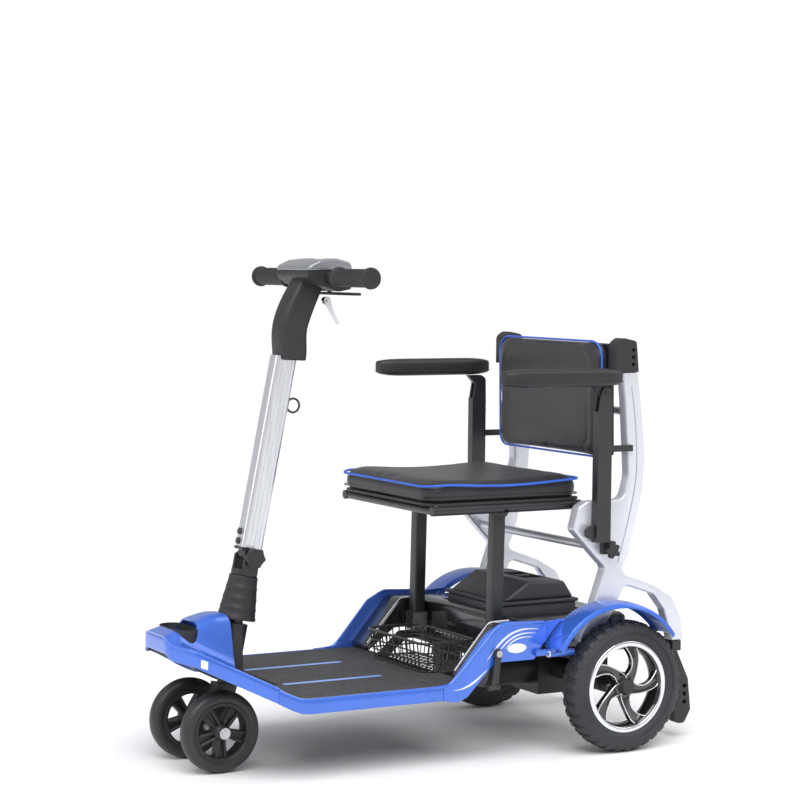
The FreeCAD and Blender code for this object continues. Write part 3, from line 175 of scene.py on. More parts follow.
def slab(name, points, y, width, bevel, segments=3, steps=6):
    outline = rounded(points, steps)
    bm = bmesh.new()
    rows = []
    for side in (-1, 1):
        rows.append([bm.verts.new((p.x * mm, y + side * width / 2, p.y * mm)) for p in outline])
    count = len(outline)
    bm.faces.new(rows[0])
    bm.faces.new(list(reversed(rows[1])))
    for i in range(count):
        k = (i + 1) % count
        bm.faces.new((rows[0][i], rows[1][i], rows[1][k], rows[0][k]))
    obj = newObject(name, bm)
    return soften(obj, bevel, segments) if bevel else obj


def lathe(name, profile, matrix, steps=96):
    bm = bmesh.new()
    rings = []
    for k in range(steps):
        a = 2 * math.pi * k / steps
        rings.append([bm.verts.new(turned(matrix, a, r, 0, h)) for h, r in profile])
    count = len(profile)
    for k in range(steps):
        one, two = rings[k], rings[(k + 1) % steps]
        for i in range(count):
            j = (i + 1) % count
            bm.faces.new((one[i], one[j], two[j], two[i]))
    return newObject(name, bm)


def rod(name, radius, length, matrix, steps):
    return lathe(name, [(0, 0), (0, radius), (length, radius), (length, 0)], matrix, steps)


def alongY(centre):
    return Matrix.Translation(centre) @ Matrix.Rotation(-math.pi / 2, 4, "X")


def alongX(centre):
    return Matrix.Translation(centre) @ Matrix.Rotation(math.pi / 2, 4, "Y")


def loft(name, rings):
    bm = bmesh.new()
    rows = [[bm.verts.new(p) for p in ring] for ring in rings]
    count = len(rows[0])
    for one, two in zip(rows, rows[1:]):
        for i in range(count):
            j = (i + 1) % count
            bm.faces.new((one[i], one[j], two[j], two[i]))
    bm.faces.new(list(reversed(rows[0])))
    bm.faces.new(rows[-1])
    return newObject(name, bm)


def superOval(halfX, halfY, power=4, count=32):
    ring = []
    for k in range(count):
        a = 2 * math.pi * k / count
        c, s = math.cos(a), math.sin(a)
        ring.append((halfX * math.copysign(abs(c) ** (2 / power), c),
                     halfY * math.copysign(abs(s) ** (2 / power), s)))
    return ring


def wire(name, points, radius, closed=False, smooth=False):
    data = bpy.data.curves.new(name, "CURVE")
    data.dimensions = "3D"
    data.bevel_depth = radius
    data.bevel_resolution = 3
    data.resolution_u = 8
    data.use_fill_caps = True
    spline = data.splines.new("NURBS" if smooth else "POLY")
    spline.points.add(len(points) - 1)
    for place, point in zip(spline.points, points):
        place.co = (*point, 1)
    if smooth:
        spline.order_u = 3
        spline.use_endpoint_u = not closed
    spline.use_cyclic_u = closed
    obj = bpy.data.objects.new(name, data)
    scene.collection.objects.link(obj)
    graph = bpy.context.evaluated_depsgraph_get()
    mesh = bpy.data.meshes.new_from_object(obj.evaluated_get(graph))
    bpy.data.objects.remove(obj)
    made = bpy.data.objects.new(name, mesh)
    scene.collection.objects.link(made)
    return made


# materials

def surface(name, colour, rough, metal=0.0, coat=0.0, coatRough=0.08, spec=0.5, sheen=0.0,
            grain="noise", grainScale=900.0, bump=0.1, depth=0.0003, mottle=0.12, fleck=None,
            spread=0.08, stretch=(1, 1, 1)):
    material = bpy.data.materials.new(name)
    material.use_nodes = True
    nodes, links = material.node_tree.nodes, material.node_tree.links
    shader = nodes["Principled BSDF"]
    shader.inputs["Metallic"].default_value = metal
    shader.inputs["Coat Weight"].default_value = coat
    shader.inputs["Coat Roughness"].default_value = coatRough
    shader.inputs["Specular IOR Level"].default_value = spec
    shader.inputs["Sheen Weight"].default_value = sheen
    where = nodes.new("ShaderNodeTexCoord")
    scaled = nodes.new("ShaderNodeMapping")
    scaled.inputs["Scale"].default_value = stretch
    links.new(where.outputs["Object"], scaled.inputs["Vector"])

    def noise(scale, detail=3.0):
        node = nodes.new("ShaderNodeTexNoise")
        node.inputs["Scale"].default_value = scale
        node.inputs["Detail"].default_value = detail
        links.new(scaled.outputs["Vector"], node.inputs["Vector"])
        return node.outputs["Fac"]

    # broad variation of colour
    tones = nodes.new("ShaderNodeValToRGB")
    dark = [c * (1 - mottle) for c in colour]
    light = [min(1, c * (1 + mottle)) for c in colour]
    tones.color_ramp.elements[0].position = 0.35
    tones.color_ramp.elements[0].color = (*dark, 1)
    tones.color_ramp.elements[1].position = 0.65
    tones.color_ramp.elements[1].color = (*light, 1)
    links.new(noise(14), tones.inputs["Fac"])
    tint = tones.outputs["Color"]
    if fleck:
        fleckColour, fleckScale, share = fleck
        dots = nodes.new("ShaderNodeTexVoronoi")
        dots.inputs["Scale"].default_value = fleckScale
        links.new(scaled.outputs["Vector"], dots.inputs["Vector"])
        parted = nodes.new("ShaderNodeSeparateColor")
        links.new(dots.outputs["Color"], parted.inputs["Color"])
        chosen = nodes.new("ShaderNodeMath")
        chosen.operation = "GREATER_THAN"
        chosen.inputs[1].default_value = 1 - share
        links.new(parted.outputs["Red"], chosen.inputs[0])
        mix = nodes.new("ShaderNodeMix")
        mix.data_type = "RGBA"
        links.new(chosen.outputs["Value"], mix.inputs["Factor"])
        links.new(tint, mix.inputs["A"])
        mix.inputs["B"].default_value = (*fleckColour, 1)
        tint = mix.outputs["Result"]
    links.new(tint, shader.inputs["Base Color"])

    # uneven gloss
    worn = nodes.new("ShaderNodeMapRange")
    worn.inputs["To Min"].default_value = max(0.02, rough - spread)
    worn.inputs["To Max"].default_value = min(1, rough + spread)
    links.new(noise(45, 5), worn.inputs["Value"])
    links.new(worn.outputs["Result"], shader.inputs["Roughness"])

    # grain
    if grain == "cells":
        node = nodes.new("ShaderNodeTexVoronoi")
        node.feature = "DISTANCE_TO_EDGE"
        node.inputs["Scale"].default_value = grainScale
        links.new(scaled.outputs["Vector"], node.inputs["Vector"])
        height = node.outputs["Distance"]
    else:
        height = noise(grainScale, 4)
    raised = nodes.new("ShaderNodeBump")
    raised.inputs["Strength"].default_value = bump
    raised.inputs["Distance"].default_value = depth
    links.new(height, raised.inputs["Height"])
    links.new(raised.outputs["Normal"], shader.inputs["Normal"])
    return material


bluePaint = surface("blueLacquer", (0.035, 0.13, 0.62), 0.3, metal=0.35, coat=1.0, coatRough=0.04,
                    grainScale=4000, bump=0.03, mottle=0.05, fleck=((0.1, 0.28, 0.9), 5200, 0.16),
                    spread=0.04)
paleBlue = surface("paleBlueInlay", (0.2, 0.38, 0.85), 0.4, coat=0.3, grainScale=1500, bump=0.06,
                   mottle=0.05)
blackFrame = surface("blackPowderCoat", (0.016, 0.016, 0.018), 0.42, coat=0.25, coatRough=0.3,
                     grainScale=1600, bump=0.14, depth=0.0002, mottle=0.2)
blackPlastic = surface("blackGrainPlastic", (0.02, 0.02, 0.022), 0.5, grain="cells",
                       depth=0.0001, mottle=0.15)
glossBlack = surface("glossBlackCover", (0.012, 0.012, 0.014), 0.2, coat=0.7, grainScale=300,
                     bump=0.02, mottle=0.15, spread=0.05)
greyPlastic = surface("darkGreyCase", (0.045, 0.047, 0.054), 0.46, grain="cells", grainScale=1100,
                      bump=0.16, depth=0.00015, mottle=0.1)
gripMat = surface("gripMat", (0.03, 0.03, 0.033), 0.72, grainScale=1300, bump=0.55, depth=0.0008,
                  mottle=0.2, fleck=((0.2, 0.2, 0.21), 1100, 0.13))
tyreRubber = surface("tyreRubber", (0.03, 0.031, 0.034), 0.62, grainScale=700, bump=0.16,
                     mottle=0.18, spec=0.4)
solidRubber = surface("solidRubber", (0.022, 0.022, 0.024), 0.44, bump=0.08,
                      depth=0.0002, mottle=0.14)
gripRubber = surface("gripRubber", (0.016, 0.016, 0.017), 0.55, grainScale=1800, bump=0.2,
                     depth=0.0002, mottle=0.15)
bootRubber = surface("bootRubber", (0.018, 0.018, 0.02), 0.48, grain="cells", grainScale=700,
                     depth=0.0002, mottle=0.15)
wheelBlack = surface("wheelGlossBlack", (0.01, 0.01, 0.011), 0.12, coat=1.0, coatRough=0.03,
                     grainScale=600, bump=0.015, mottle=0.1, spread=0.04)
machined = surface("machinedBright", (0.82, 0.83, 0.85), 0.22, metal=1.0, grainScale=2500,
                   bump=0.05, depth=0.0001, mottle=0.04, spread=0.06)
steel = surface("zincSteel", (0.55, 0.55, 0.57), 0.34, metal=1.0, grainScale=1800, bump=0.08,
                depth=0.0001, mottle=0.08)
chrome = surface("brightChrome", (0.82, 0.83, 0.85), 0.08, metal=1.0, grainScale=500, bump=0.01,
                 mottle=0.03, spread=0.03)
aluminium = surface("flutedAluminium", (0.78, 0.79, 0.82), 0.3, metal=1.0, grainScale=260,
                    bump=0.08, depth=0.0002, mottle=0.05, stretch=(6, 6, 0.3))
silverPaint = surface("satinSilver", (0.66, 0.67, 0.72), 0.32, metal=0.45, coat=0.5,
                      coatRough=0.18, grainScale=3000, bump=0.05, mottle=0.03,
                      fleck=((0.85, 0.86, 0.9), 4200, 0.2))
greyCover = surface("metallicGreyCover", (0.3, 0.31, 0.33), 0.3, metal=0.6, coat=0.5,
                    coatRough=0.1, grainScale=3000, bump=0.04, mottle=0.05)
leather = surface("blackLeatherette", (0.017, 0.017, 0.019), 0.4, grain="cells",
                  grainScale=520, bump=0.35, depth=0.0005, mottle=0.2, sheen=0.1)
bluePiping = surface("bluePiping", (0.03, 0.12, 0.6), 0.42, bump=0.2, mottle=0.08)
padSkin = surface("armrestSkin", (0.016, 0.016, 0.018), 0.5, grain="cells", grainScale=650,
                  bump=0.3, depth=0.0004, mottle=0.18)
wireCoat = surface("coatedWire", (0.015, 0.015, 0.016), 0.32, coat=0.5, coatRough=0.2,
                   bump=0.08)
reflector = surface("paleReflector", (0.86, 0.88, 0.92), 0.18, coat=1.0, grain="cells",
                    grainScale=420, bump=0.35, depth=0.0006, mottle=0.03)
redReflector = surface("redReflector", (0.55, 0.015, 0.012), 0.18, coat=1.0, grain="cells",
                       grainScale=420, bump=0.35, depth=0.0006, mottle=0.05)
# this white colours the real oval badges and also the painted highlight lines along the ramp
# housing edges
whiteBadgeAndRampHighlight = surface("whiteBadgeAndRampHighlight", (0.8, 0.82, 0.87), 0.35, coat=0.4, grainScale=1500, bump=0.05,
                    mottle=0.03)
silverStripe = surface("silverStripe", (0.72, 0.76, 0.86), 0.28, metal=0.5, coat=1.0,
                       coatRough=0.04, grainScale=3000, bump=0.03, mottle=0.04)
screen = surface("gaugeScreen", (0.01, 0.012, 0.014), 0.1, coat=1.0, coatRough=0.02,
                 grainScale=400, bump=0.01, mottle=0.1)
print("materials made")

# carried parts keep their shape and take these finishes
carried = {
    blackFrame: ["chassis_frame", "steering_head", "floor_pan", "release_pedal", "steering_fork",
                 "hinge_clevis", "tiller_foot", "handlebar", "seat_frame", "armrest_posts",
                 "armrest_bracket_left", "armrest_bracket_right", "transaxle"],
    blackPlastic: ["nose_undertray", "motor_controller", "anti_tip_skids", "rear_hub_left",
                   "rear_hub_right", "hinge_knob", "bag_hook", "throttle_lever", "speed_dial",
                   "seat_pan", "frame_caps", "backrest_board", "armrest_knobs", "head_housing"],
    steel: ["pivot_fasteners", "front_axle", "ignition_key"],
    chrome: ["tilt_release_lever"],
    gripMat: ["floor_mat"],
    paleBlue: ["floor_inlays"],
}
for material, names in carried.items():
    for name in names:
        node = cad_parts[name]
        if not node.material_slots:
            node.data.materials.append(material)
        for place in node.material_slots:
            place.material = material


def middle(node):
    low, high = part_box(node)
    return (low + high) / 2


# rear wheels: lugged tyre, bright ring, five swept spokes

rearWheel = {"radius": 0.127, "bead": 0.0885, "half": 0.0275, "lugs": 34, "lugHeight": 0.0028,
             "ringIn": 0.0785, "spokes": 5, "sweep": 0.5}


def rearTyre(side, low):
    w = rearWheel
    centre = middle("rear_tyre_" + low)
    half, r, bead = w["half"], w["radius"] - w["lugHeight"], w["bead"]
    crown = [(-half + 0.002, bead + 0.024), (-half + 0.0025, r - 0.011), (-half + 0.007, r - 0.004),
             (-half + 0.014, r - 0.001), (0, r), (half - 0.014, r - 0.001),
             (half - 0.007, r - 0.004), (half - 0.0025, r - 0.011), (half - 0.002, bead + 0.024)]
    wall = [(half - 0.0005, bead + 0.017), (half - 0.003, bead + 0.0155),
            (half - 0.0035, bead + 0.006), (half - 0.0055, bead + 0.004), (half - 0.007, bead),
            (half - 0.012, bead - 0.003)]
    other = [(-h, radius) for h, radius in reversed(wall)]
    matrix = alongY(centre)
    tyre = lathe("tyreBody", crown + wall + other, matrix, 120)
    bm = bmesh.new()
    step = 2 * math.pi / w["lugs"]
    rise = w["lugHeight"]
    for way in (1, -1):
        path = [(0.0015, r, 0), (0.010, r - 0.0005, 0.1), (half - 0.009, r - 0.003, 0.16),
                (half - 0.0035, r - 0.009, 0.16), (half - 0.0024, r - 0.016, 0.16)]
        for k in range(w["lugs"]):
            first = (k + (0.5 if way < 0 else 0)) * step
            rows = []
            for h, radius, lag in path:
                row = []
                lift = rise if radius > r - 0.005 else rise * 0.45
                for out, edge in ((0, 0.14), (1, 0.2), (1, 0.74), (0, 0.8)):
                    a = first + (edge + lag) * step
                    reach = radius + (lift if out else -0.002)
                    spread = way * (h + (0.0006 if out and radius < r - 0.005 else 0))
                    row.append(bm.verts.new(turned(matrix, a, reach, 0, spread)))
                rows.append(row)
            for one, two in zip(rows, rows[1:]):
                for i in range(4):
                    j = (i + 1) % 4
                    bm.faces.new((one[i], one[j], two[j], two[i]))
            bm.faces.new(rows[0])
            bm.faces.new(list(reversed(rows[-1])))
    lugs = newObject("tyreLugs", bm)
    tyre = joined("rearTyre" + side, [tyre, lugs])
    fit(tyre, tyreRubber, "rear_wheel_" + low, "tyre", "rear_tyre_" + low, angle=30)


def rearRim(side, low, hand):
    w = rearWheel
    body = "rear_wheel_" + low
    centre = middle("rear_tyre_" + low)
    matrix = alongY(centre)
    out = 0.021 * hand
    ring = [(out, w["ringIn"]), (out + 0.0012 * hand, w["ringIn"] + 0.002),
            (out + 0.0012 * hand, w["bead"] - 0.002), (out, w["bead"]),
            (out - 0.004 * hand, w["bead"]), (out - 0.004 * hand, w["ringIn"])]
    lip = soften(lathe("rimLip" + side, ring, matrix, 120), 0.0006, 2)
    fit(lip, machined, body, "aluminium")
    barrel = [(-0.021 * hand, 0.078), (-0.021 * hand, 0.0875), (0.0165 * hand, 0.0875),
              (0.0175 * hand, 0.0785), (0.012 * hand, 0.0745), (-0.004 * hand, 0.072)]
    hub = [(-0.018 * hand, 0.0095), (0.0135 * hand, 0.0095), (0.0145 * hand, 0.017),
           (0.012 * hand, 0.023), (-0.004 * hand, 0.026), (-0.018 * hand, 0.024)]
    parts = [soften(lathe("rimBarrel", barrel, matrix, 120), 0.0008, 2),
             soften(lathe("rimHub", hub, matrix, 64), 0.001, 2)]
    edges = []
    for k in range(w["spokes"]):
        turn = 2 * math.pi * k / w["spokes"] + 0.3
        face, trims = [], [[], []]
        for i in range(11):
            t = i / 10
            radius = 0.019 + 0.0575 * t
            a = turn + hand * w["sweep"] * t ** 1.3
            wide = 0.0118 - 0.0036 * math.sin(math.pi * min(1, t * 1.15)) + 0.004 * t ** 3
            high = (0.0135 + 0.0025 * math.sin(math.pi * t)) * hand
            deep = high - 0.011 * hand
            dish = high - 0.0022 * hand
            face.append([turned(matrix, a, radius, wide * s, h) for s, h in (
                (-1, deep), (-1, high - 0.001 * hand), (-0.86, high), (-0.45, dish),
                (0.45, dish), (0.86, high), (1, high - 0.001 * hand), (1, deep))])
            for trim, s in zip(trims, (-0.86, 0.86)):
                trim.append(turned(matrix, a, radius, wide * s, high))
        parts.append(loft("spoke", face))
        edges += [wire("spokeEdge", trim, 0.0011) for trim in trims]
    rim = joined("rearRim" + side, parts)
    fit(rim, wheelBlack, body, "wheel_black", "rear_rim_" + low, angle=40)
    fit(joined("rimEdges" + side, edges), machined, body, "aluminium")
    bolts = []
    for k in range(5):
        a = 2 * math.pi * k / 5 + 0.93
        place = turned(matrix, a, 0.0182, 0, 0.0125 * hand)
        bolts.append(soften(rod("bolt", 0.0026, 0.0035 * hand, alongY(place), 6), 0.0003, 1))
    fit(joined("wheelBolts" + side, bolts), steel, body, "steel")


# front wheels: smooth solid tyre, moulded rim with five double spokes

frontWheel = {"radius": 0.0758, "bead": 0.0555, "half": 0.0178}


def frontWheelParts(side, low, hand):
    w = frontWheel
    centre = middle("front_tyre_" + low)
    matrix = alongY(centre)
    body = "front_wheel_" + low
    half, r, bead = w["half"], w["radius"], w["bead"]
    wall = []
    for k in range(13):
        a = math.pi * k / 12
        wall.append((-half * math.cos(a) * (1 if 1 < k < 11 else 0.97),
                     r - 0.0125 + 0.0125 * math.sin(a) ** 0.7))
    lower = [(half * 0.99, bead + 0.005), (half * 0.93, bead + 0.0035),
             (half * 0.93, bead + 0.002), (half * 0.86, bead), (-half * 0.86, bead),
             (-half * 0.93, bead + 0.002), (-half * 0.93, bead + 0.0035),
             (-half * 0.99, bead + 0.005)]
    tyre = lathe("frontTyre" + side, wall + lower, matrix, 96)
    fit(tyre, solidRubber, body, "front_tyre", "front_tyre_" + low, angle=50)
    ring = [(-0.0165, 0.0475), (-0.0165, 0.0552), (0.0165, 0.0552), (0.0165, 0.052),
            (0.0148, 0.0505), (0.0148, 0.0488), (0.0125, 0.0475)]
    hub = [(-0.0185, 0.0062), (0.0185, 0.0062), (0.0185, 0.0115), (0.0165, 0.0135),
           (0.013, 0.016), (-0.013, 0.016), (-0.0185, 0.0135)]
    flip = Matrix.Scale(hand, 4, Vector((0, 0, 1)))
    parts = [soften(lathe("ring", ring, matrix @ flip, 96), 0.0006, 2),
             soften(lathe("hub", hub, matrix @ flip, 48), 0.0006, 2)]
    for k in range(5):
        a = 2 * math.pi * k / 5 + math.pi / 2
        for way in (-1, 1):
            rows = []
            for t in (0, 0.25, 0.5, 0.75, 1):
                middleLine = way * (0.0048 + 0.0045 * t)
                wide = 0.0024 + 0.0006 * t
                high = 0.0125 - 0.0035 * t
                rows.append([turned(matrix, a, 0.013 + 0.0365 * t, middleLine + wide * s, h)
                             for s, h in ((-1, -high), (-1, high - 0.001), (-0.6, high),
                                          (0.6, high), (1, high - 0.001), (1, -high))])
            parts.append(loft("spoke", rows))
        rows = [[turned(matrix, a, 0.014 + 0.034 * t, (0.005 + 0.004 * t) * s, h)
                 for s, h in ((-1, -0.004), (-1, 0.004), (1, 0.004), (1, -0.004))]
                for t in (0, 1)]
        parts.append(loft("web", rows))
    fit(joined("frontRim" + side, parts), blackPlastic, body, "black_plastic",
        "front_rim_" + low)


for side, low, hand in sides:
    rearTyre(side, low)
    rearRim(side, low, hand)
    frontWheelParts(side, low, hand)
print("wheels made")


# deck: side bands, panels, nose

deck = {"half": 235, "low": 127, "top": 155, "knee": 322, "slope": math.tan(math.radians(27.5)),
        "seam": 30, "noseSeam": 368, "front": 505, "band": 28}


def rampHeight(x, base):
    return base + max(0, x - deck["knee"]) * deck["slope"]


def bandSection(name, stations, hand):
    rings = []
    outer = deck["half"]
    for x, low, high in stations:
        tall = high - low
        ring = []
        for inset, share in ((6, 0), (1.6, 0.0), (0.5, 0.05), (0.1, 0.16), (0, 0.5), (0.3, 0.78),
                             (1.2, 0.9), (3, 0.98), (6, 1), (9, 0.985), (9, 0.9), (6, 0.86)):
            ring.append(at(x, hand * (outer - inset), low + tall * share))
        rings.append(ring)
    return loft(name, rings)


for side, low, hand in sides:
    stations = [(deck["seam"] + 0.5, deck["low"], deck["top"])]
    for x in (100, 180, 250, 290, 305, 314, 322, 330, 339, 350, deck["noseSeam"] - 0.4):
        bend = max(0, 1 - abs(x - deck["knee"]) / 18) * 2.4
        stations.append((x, rampHeight(x, deck["low"]) + bend,
                         rampHeight(x, deck["top"]) + bend))
    band = bandSection("deckBand" + side, stations, hand)
    fit(band, bluePaint, "chassis", "blue_paint", *(["side_trims"] if hand > 0 else []))
print("deck bands made")

panel = {"thick": 0.006, "rear": -193, "top": 263, "y": 0.232, "rearY": 0.2275,
         "face": 0.2353}


def sidePanel(side, hand):
    rear, top = panel["rear"], panel["top"]
    y = hand * panel["y"]
    outline = [(29.7, 127), (-2, 122, 14), (-22, 131, 14), (-80, 190, 16), (rear + 26, 190),
               (rear, 226), (rear, top - 2), (-100, top + 3, 26), (-62, 247, 20), (22, 149, 16),
               (29.7, 155)]
    front = slab("frontPanel", outline, y, panel["thick"], 0.0022, 4, 8)
    arch = []
    for k in range(13):
        a = math.radians(66 - (66 - 25) * k / 12)
        x, z = -331 + 159 * math.cos(a), 136 + 159 * math.sin(a)
        if z < top - 4 and x < rear - 2:
            arch.append((x, z))
    rearOutline = [(rear - 1, top - 3), (-258, top)] + arch + [(rear - 1, arch[-1][1])]
    back = slab("rearPanel", rearOutline, hand * panel["rearY"], panel["thick"], 0.0012, 3)
    return joined("sidePanel" + side, [front, back])


def ribbon(name, points, y, wide, thick=0.0009):
    rows = []
    for i, (x, z, share) in enumerate(points):
        before = points[max(0, i - 1)]
        after = points[min(len(points) - 1, i + 1)]
        along = Vector((after[0] - before[0], after[1] - before[1])).normalized()
        across = Vector((-along.y, along.x)) * wide * share / 2
        row = []
        for s, out in ((-1, 0), (-0.8, 1), (0.8, 1), (1, 0)):
            row.append(Vector(((x + across.x * s) * mm, y + math.copysign(out * thick, y),
                               (z + across.y * s) * mm)))
        rows.append(row)
    return loft(name, rows)


def sweepLine(control, count=22):
    line = []
    for k in range(count + 1):
        t = k / count
        points = [Vector(p) for p in control]
        while len(points) > 1:
            points = [a.lerp(b, t) for a, b in zip(points, points[1:])]
        line.append((points[0].x, points[0].y, max(0.06, math.sin(math.pi * (0.06 + 0.9 * t)))))
    return line


for side, low, hand in sides:
    fit(sidePanel(side, hand), bluePaint, "chassis", "blue_paint",
        *(["side_panels"] if hand > 0 else []))
    y = hand * panel["face"]
    stripes = [
        ribbon("stripe", sweepLine([(-176, 247), (-110, 258), (-92, 226), (-62, 196)]), y, 4.5),
        ribbon("stripe", sweepLine([(-170, 240), (-120, 247), (-104, 226), (-84, 206)]), y, 3.6),
        ribbon("stripe", sweepLine([(-163, 233), (-128, 238), (-114, 226), (-102, 214)]), y, 3),
        ribbon("stripe", sweepLine([(-62, 178), (-40, 160), (-26, 146), (10, 145)]), y, 4),
    ]
    fit(joined("panelStripes" + side, stripes), silverStripe, "chassis", "blue_paint")
    badge = [(p[0] - 128, p[1] + 214) for p in superOval(21, 9, 2, 36)]
    fit(slab("ovalBadge" + side, badge, y, 0.0018, 0.0005, 2), whiteBadgeAndRampHighlight, "chassis",
        "blue_paint")
    ridge = [(-188, 259), (-104, 261), (-90, 259), (-79, 251), (-66, 236), (10, 159), (24, 153),
             (60, 152.5)]
    points = [(p[0] * mm, hand * 0.2328, p[1] * mm) for p in ridge]
    fit(wire("panelRidge" + side, points, 0.0034, smooth=True), bluePaint, "chassis",
        "blue_paint")
print("panels made")

nose = {"slab": 0.0035, "slotX": 459, "slotHalfX": 21, "slotHalfY": 51, "level": 237.5,
        "crest": 283, "slope": 5.5, "cornerBack": 33, "cornerY": 112, "tipY": 50, "patchX": 462}


def noseHeight(x, y):
    seam, front, level = deck["noseSeam"], deck["front"], nose["level"]
    base = min(rampHeight(x, deck["top"]), level + (front - 26 - x) * 0.1,
               level - max(0, x - front + 13) * 0.12)
    t = (x - seam) / (front - seam)
    swell = 2 * math.sin(math.pi * min(1, max(0, t + 0.1) * 1.6))
    crest = nose["crest"] + swell - 40 * max(0, t - 0.2) ** 1.3
    wide = 40 + 14 * max(0, t) ** 1.1
    share = 1 / (1 + math.exp((abs(y) - wide) / nose["slope"]))
    return base + max(0, crest - base) * share


def nosePlan():
    seam, front, half = deck["noseSeam"] + 0.5, deck["front"], deck["half"]
    back, corner, tip = front - nose["cornerBack"], nose["cornerY"], nose["tipY"]
    return [(seam, -half), (back, -corner, 24), (front, -tip, 40), (front, tip, 40),
            (back, corner, 24), (seam, half)]


def noseFront(y, outline):
    best = deck["noseSeam"] + 0.5
    for p, q in zip(outline, outline[1:]):
        if p.y != q.y and min(p.y, q.y) - 0.01 <= y <= max(p.y, q.y) + 0.01:
            best = max(best, p.x + (q.x - p.x) * min(1, max(0, (y - p.y) / (q.y - p.y))))
    return best


def noseShell():
    seam, half = deck["noseSeam"] + 0.5, deck["half"]
    outline = rounded(nosePlan(), 8)
    columns, rows = 120, 50
    bm = bmesh.new()
    grid = []
    for k in range(columns + 1):
        y = half * 0.9995 * math.sin(math.pi / 2 * (2 * k / columns - 1) * 0.75) / math.sin(
            math.pi / 2 * 0.75)
        end = noseFront(y, outline)
        column = []
        for i in range(rows + 1):
            x = seam + (end - seam) * i / rows
            column.append(bm.verts.new(at(x, y, noseHeight(x, y))))
        grid.append(column)
    for k in range(columns):
        for i in range(rows):
            bm.faces.new((grid[k][i], grid[k][i + 1], grid[k + 1][i + 1], grid[k + 1][i]))
    top = newObject("noseShell", bm)
    return thicken(top, nose["slab"], Vector((0, 0, 1)))


def noseBand():
    line = rounded(nosePlan(), 8)
    rings = []
    count = len(line)
    for i in range(count):
        before, after = line[max(0, i - 1)], line[min(count - 1, i + 1)]
        along = (after - before).normalized()
        inward = Vector((-along.y, along.x))
        p = line[i]
        high = noseHeight(p.x, p.y) - 0.4
        tall = deck["band"] + min(2, (p.x - deck["noseSeam"]) * 0.02)
        ring = []
        for inset, share in ((6, 0), (1.6, 0), (0.5, 0.05), (0.1, 0.16), (0, 0.5), (0.3, 0.8),
                             (0.9, 0.93), (2.2, 1), (6, 1)):
            q = p + inward * inset
            ring.append(at(q.x, q.y, high - tall + tall * share))
        rings.append(ring)
    return loft("noseBand", rings)


def stadium(name, x, halfX, halfY, low, high, steps=14):
    ring = []
    for k in range(4 * steps):
        a = 2 * math.pi * k / (4 * steps)
        flat = halfY - halfX
        ring.append((x + halfX * math.cos(a),
                     halfX * math.sin(a) + (flat if math.sin(a) > 0 else -flat)))
    return loft(name, [[at(*p, z) for p in ring] for z in (low, high)])


slot = nose["slotX"], nose["slotHalfX"], nose["slotHalfY"]
steer = {"hinge": (0.320, 0, 0.385), "lean": -11.06, "bootRadius": 0.0395}
shell = noseShell()
carve(shell, stadium("slotCut", *slot, 150, 360))
steerAxis = Matrix.Translation(steer["hinge"]) @ Matrix.Rotation(math.radians(steer["lean"]), 4,
                                                                 "Y")
carve(shell, rod("bootCut", steer["bootRadius"], -0.30, steerAxis, 64))
shell = joined("noseCover", [shell, noseBand()])
fit(shell, bluePaint, "chassis", "blue_paint", "nose_cover", angle=45)
well = stadium("slotWell", slot[0], slot[1] + 2.2, slot[2] + 2.2, 236, 262)
carve(well, stadium("wellCut", *slot, 200, 300))
fit(well, blackPlastic, "chassis", "black_plastic")
for side, low, hand in sides:
    edge = Vector((deck["front"] - nose["cornerBack"] - deck["noseSeam"],
                   hand * (nose["cornerY"] - deck["half"]), 0)).normalized()
    x = nose["patchX"]
    fall = edge.y / edge.x * (x - deck["noseSeam"])
    patch = slab("noseReflector" + side, [(-7, -9, 2), (7, -6, 2), (7, 9, 2), (-7, 6, 2)],
                 0, 0.0022, 0.0006, 2)
    up = Vector((0, 0, 1))
    facing = Matrix((edge, up.cross(edge), up)).transposed().to_4x4()
    spot = at(x, hand * deck["half"] + fall, noseHeight(x, nose["cornerY"]) - 17)
    patch.data.transform(Matrix.Translation(spot) @ facing)
    fit(patch, reflector, "chassis", "blue_paint")
print("nose made")


# fenders

fender = {"x": -331, "z": 136, "radius": 158, "inner": 221, "outer": 287, "first": 29, "last": 146}


def guard(hand):
    f = fender
    bm = bmesh.new()
    rows = []
    steps, across = 48, 14
    for i in range(steps + 1):
        t = i / steps
        a = math.radians(f["first"] + (f["last"] - f["first"]) * t)
        row = []
        for k in range(across + 1):
            s = k / across * 2 - 1
            y = (f["inner"] + f["outer"]) / 2 + s * (f["outer"] - f["inner"]) / 2
            drop = 3.4 * abs(s) ** 2.2 + (7 * max(0, abs(s) - 0.86) / 0.14)
            radius = f["radius"] - drop
            row.append(bm.verts.new(at(f["x"] + radius * math.cos(a), hand * y,
                                       f["z"] + radius * math.sin(a))))
        rows.append(row)
    for one, two in zip(rows, rows[1:]):
        for k in range(across):
            bm.faces.new((one[k], one[k + 1], two[k + 1], two[k]))
    obj = newObject("guard", bm)
    thicken(obj, 0.003, Vector((0, 0, 1)))
    return soften(obj, 0.0008, 2, 50)


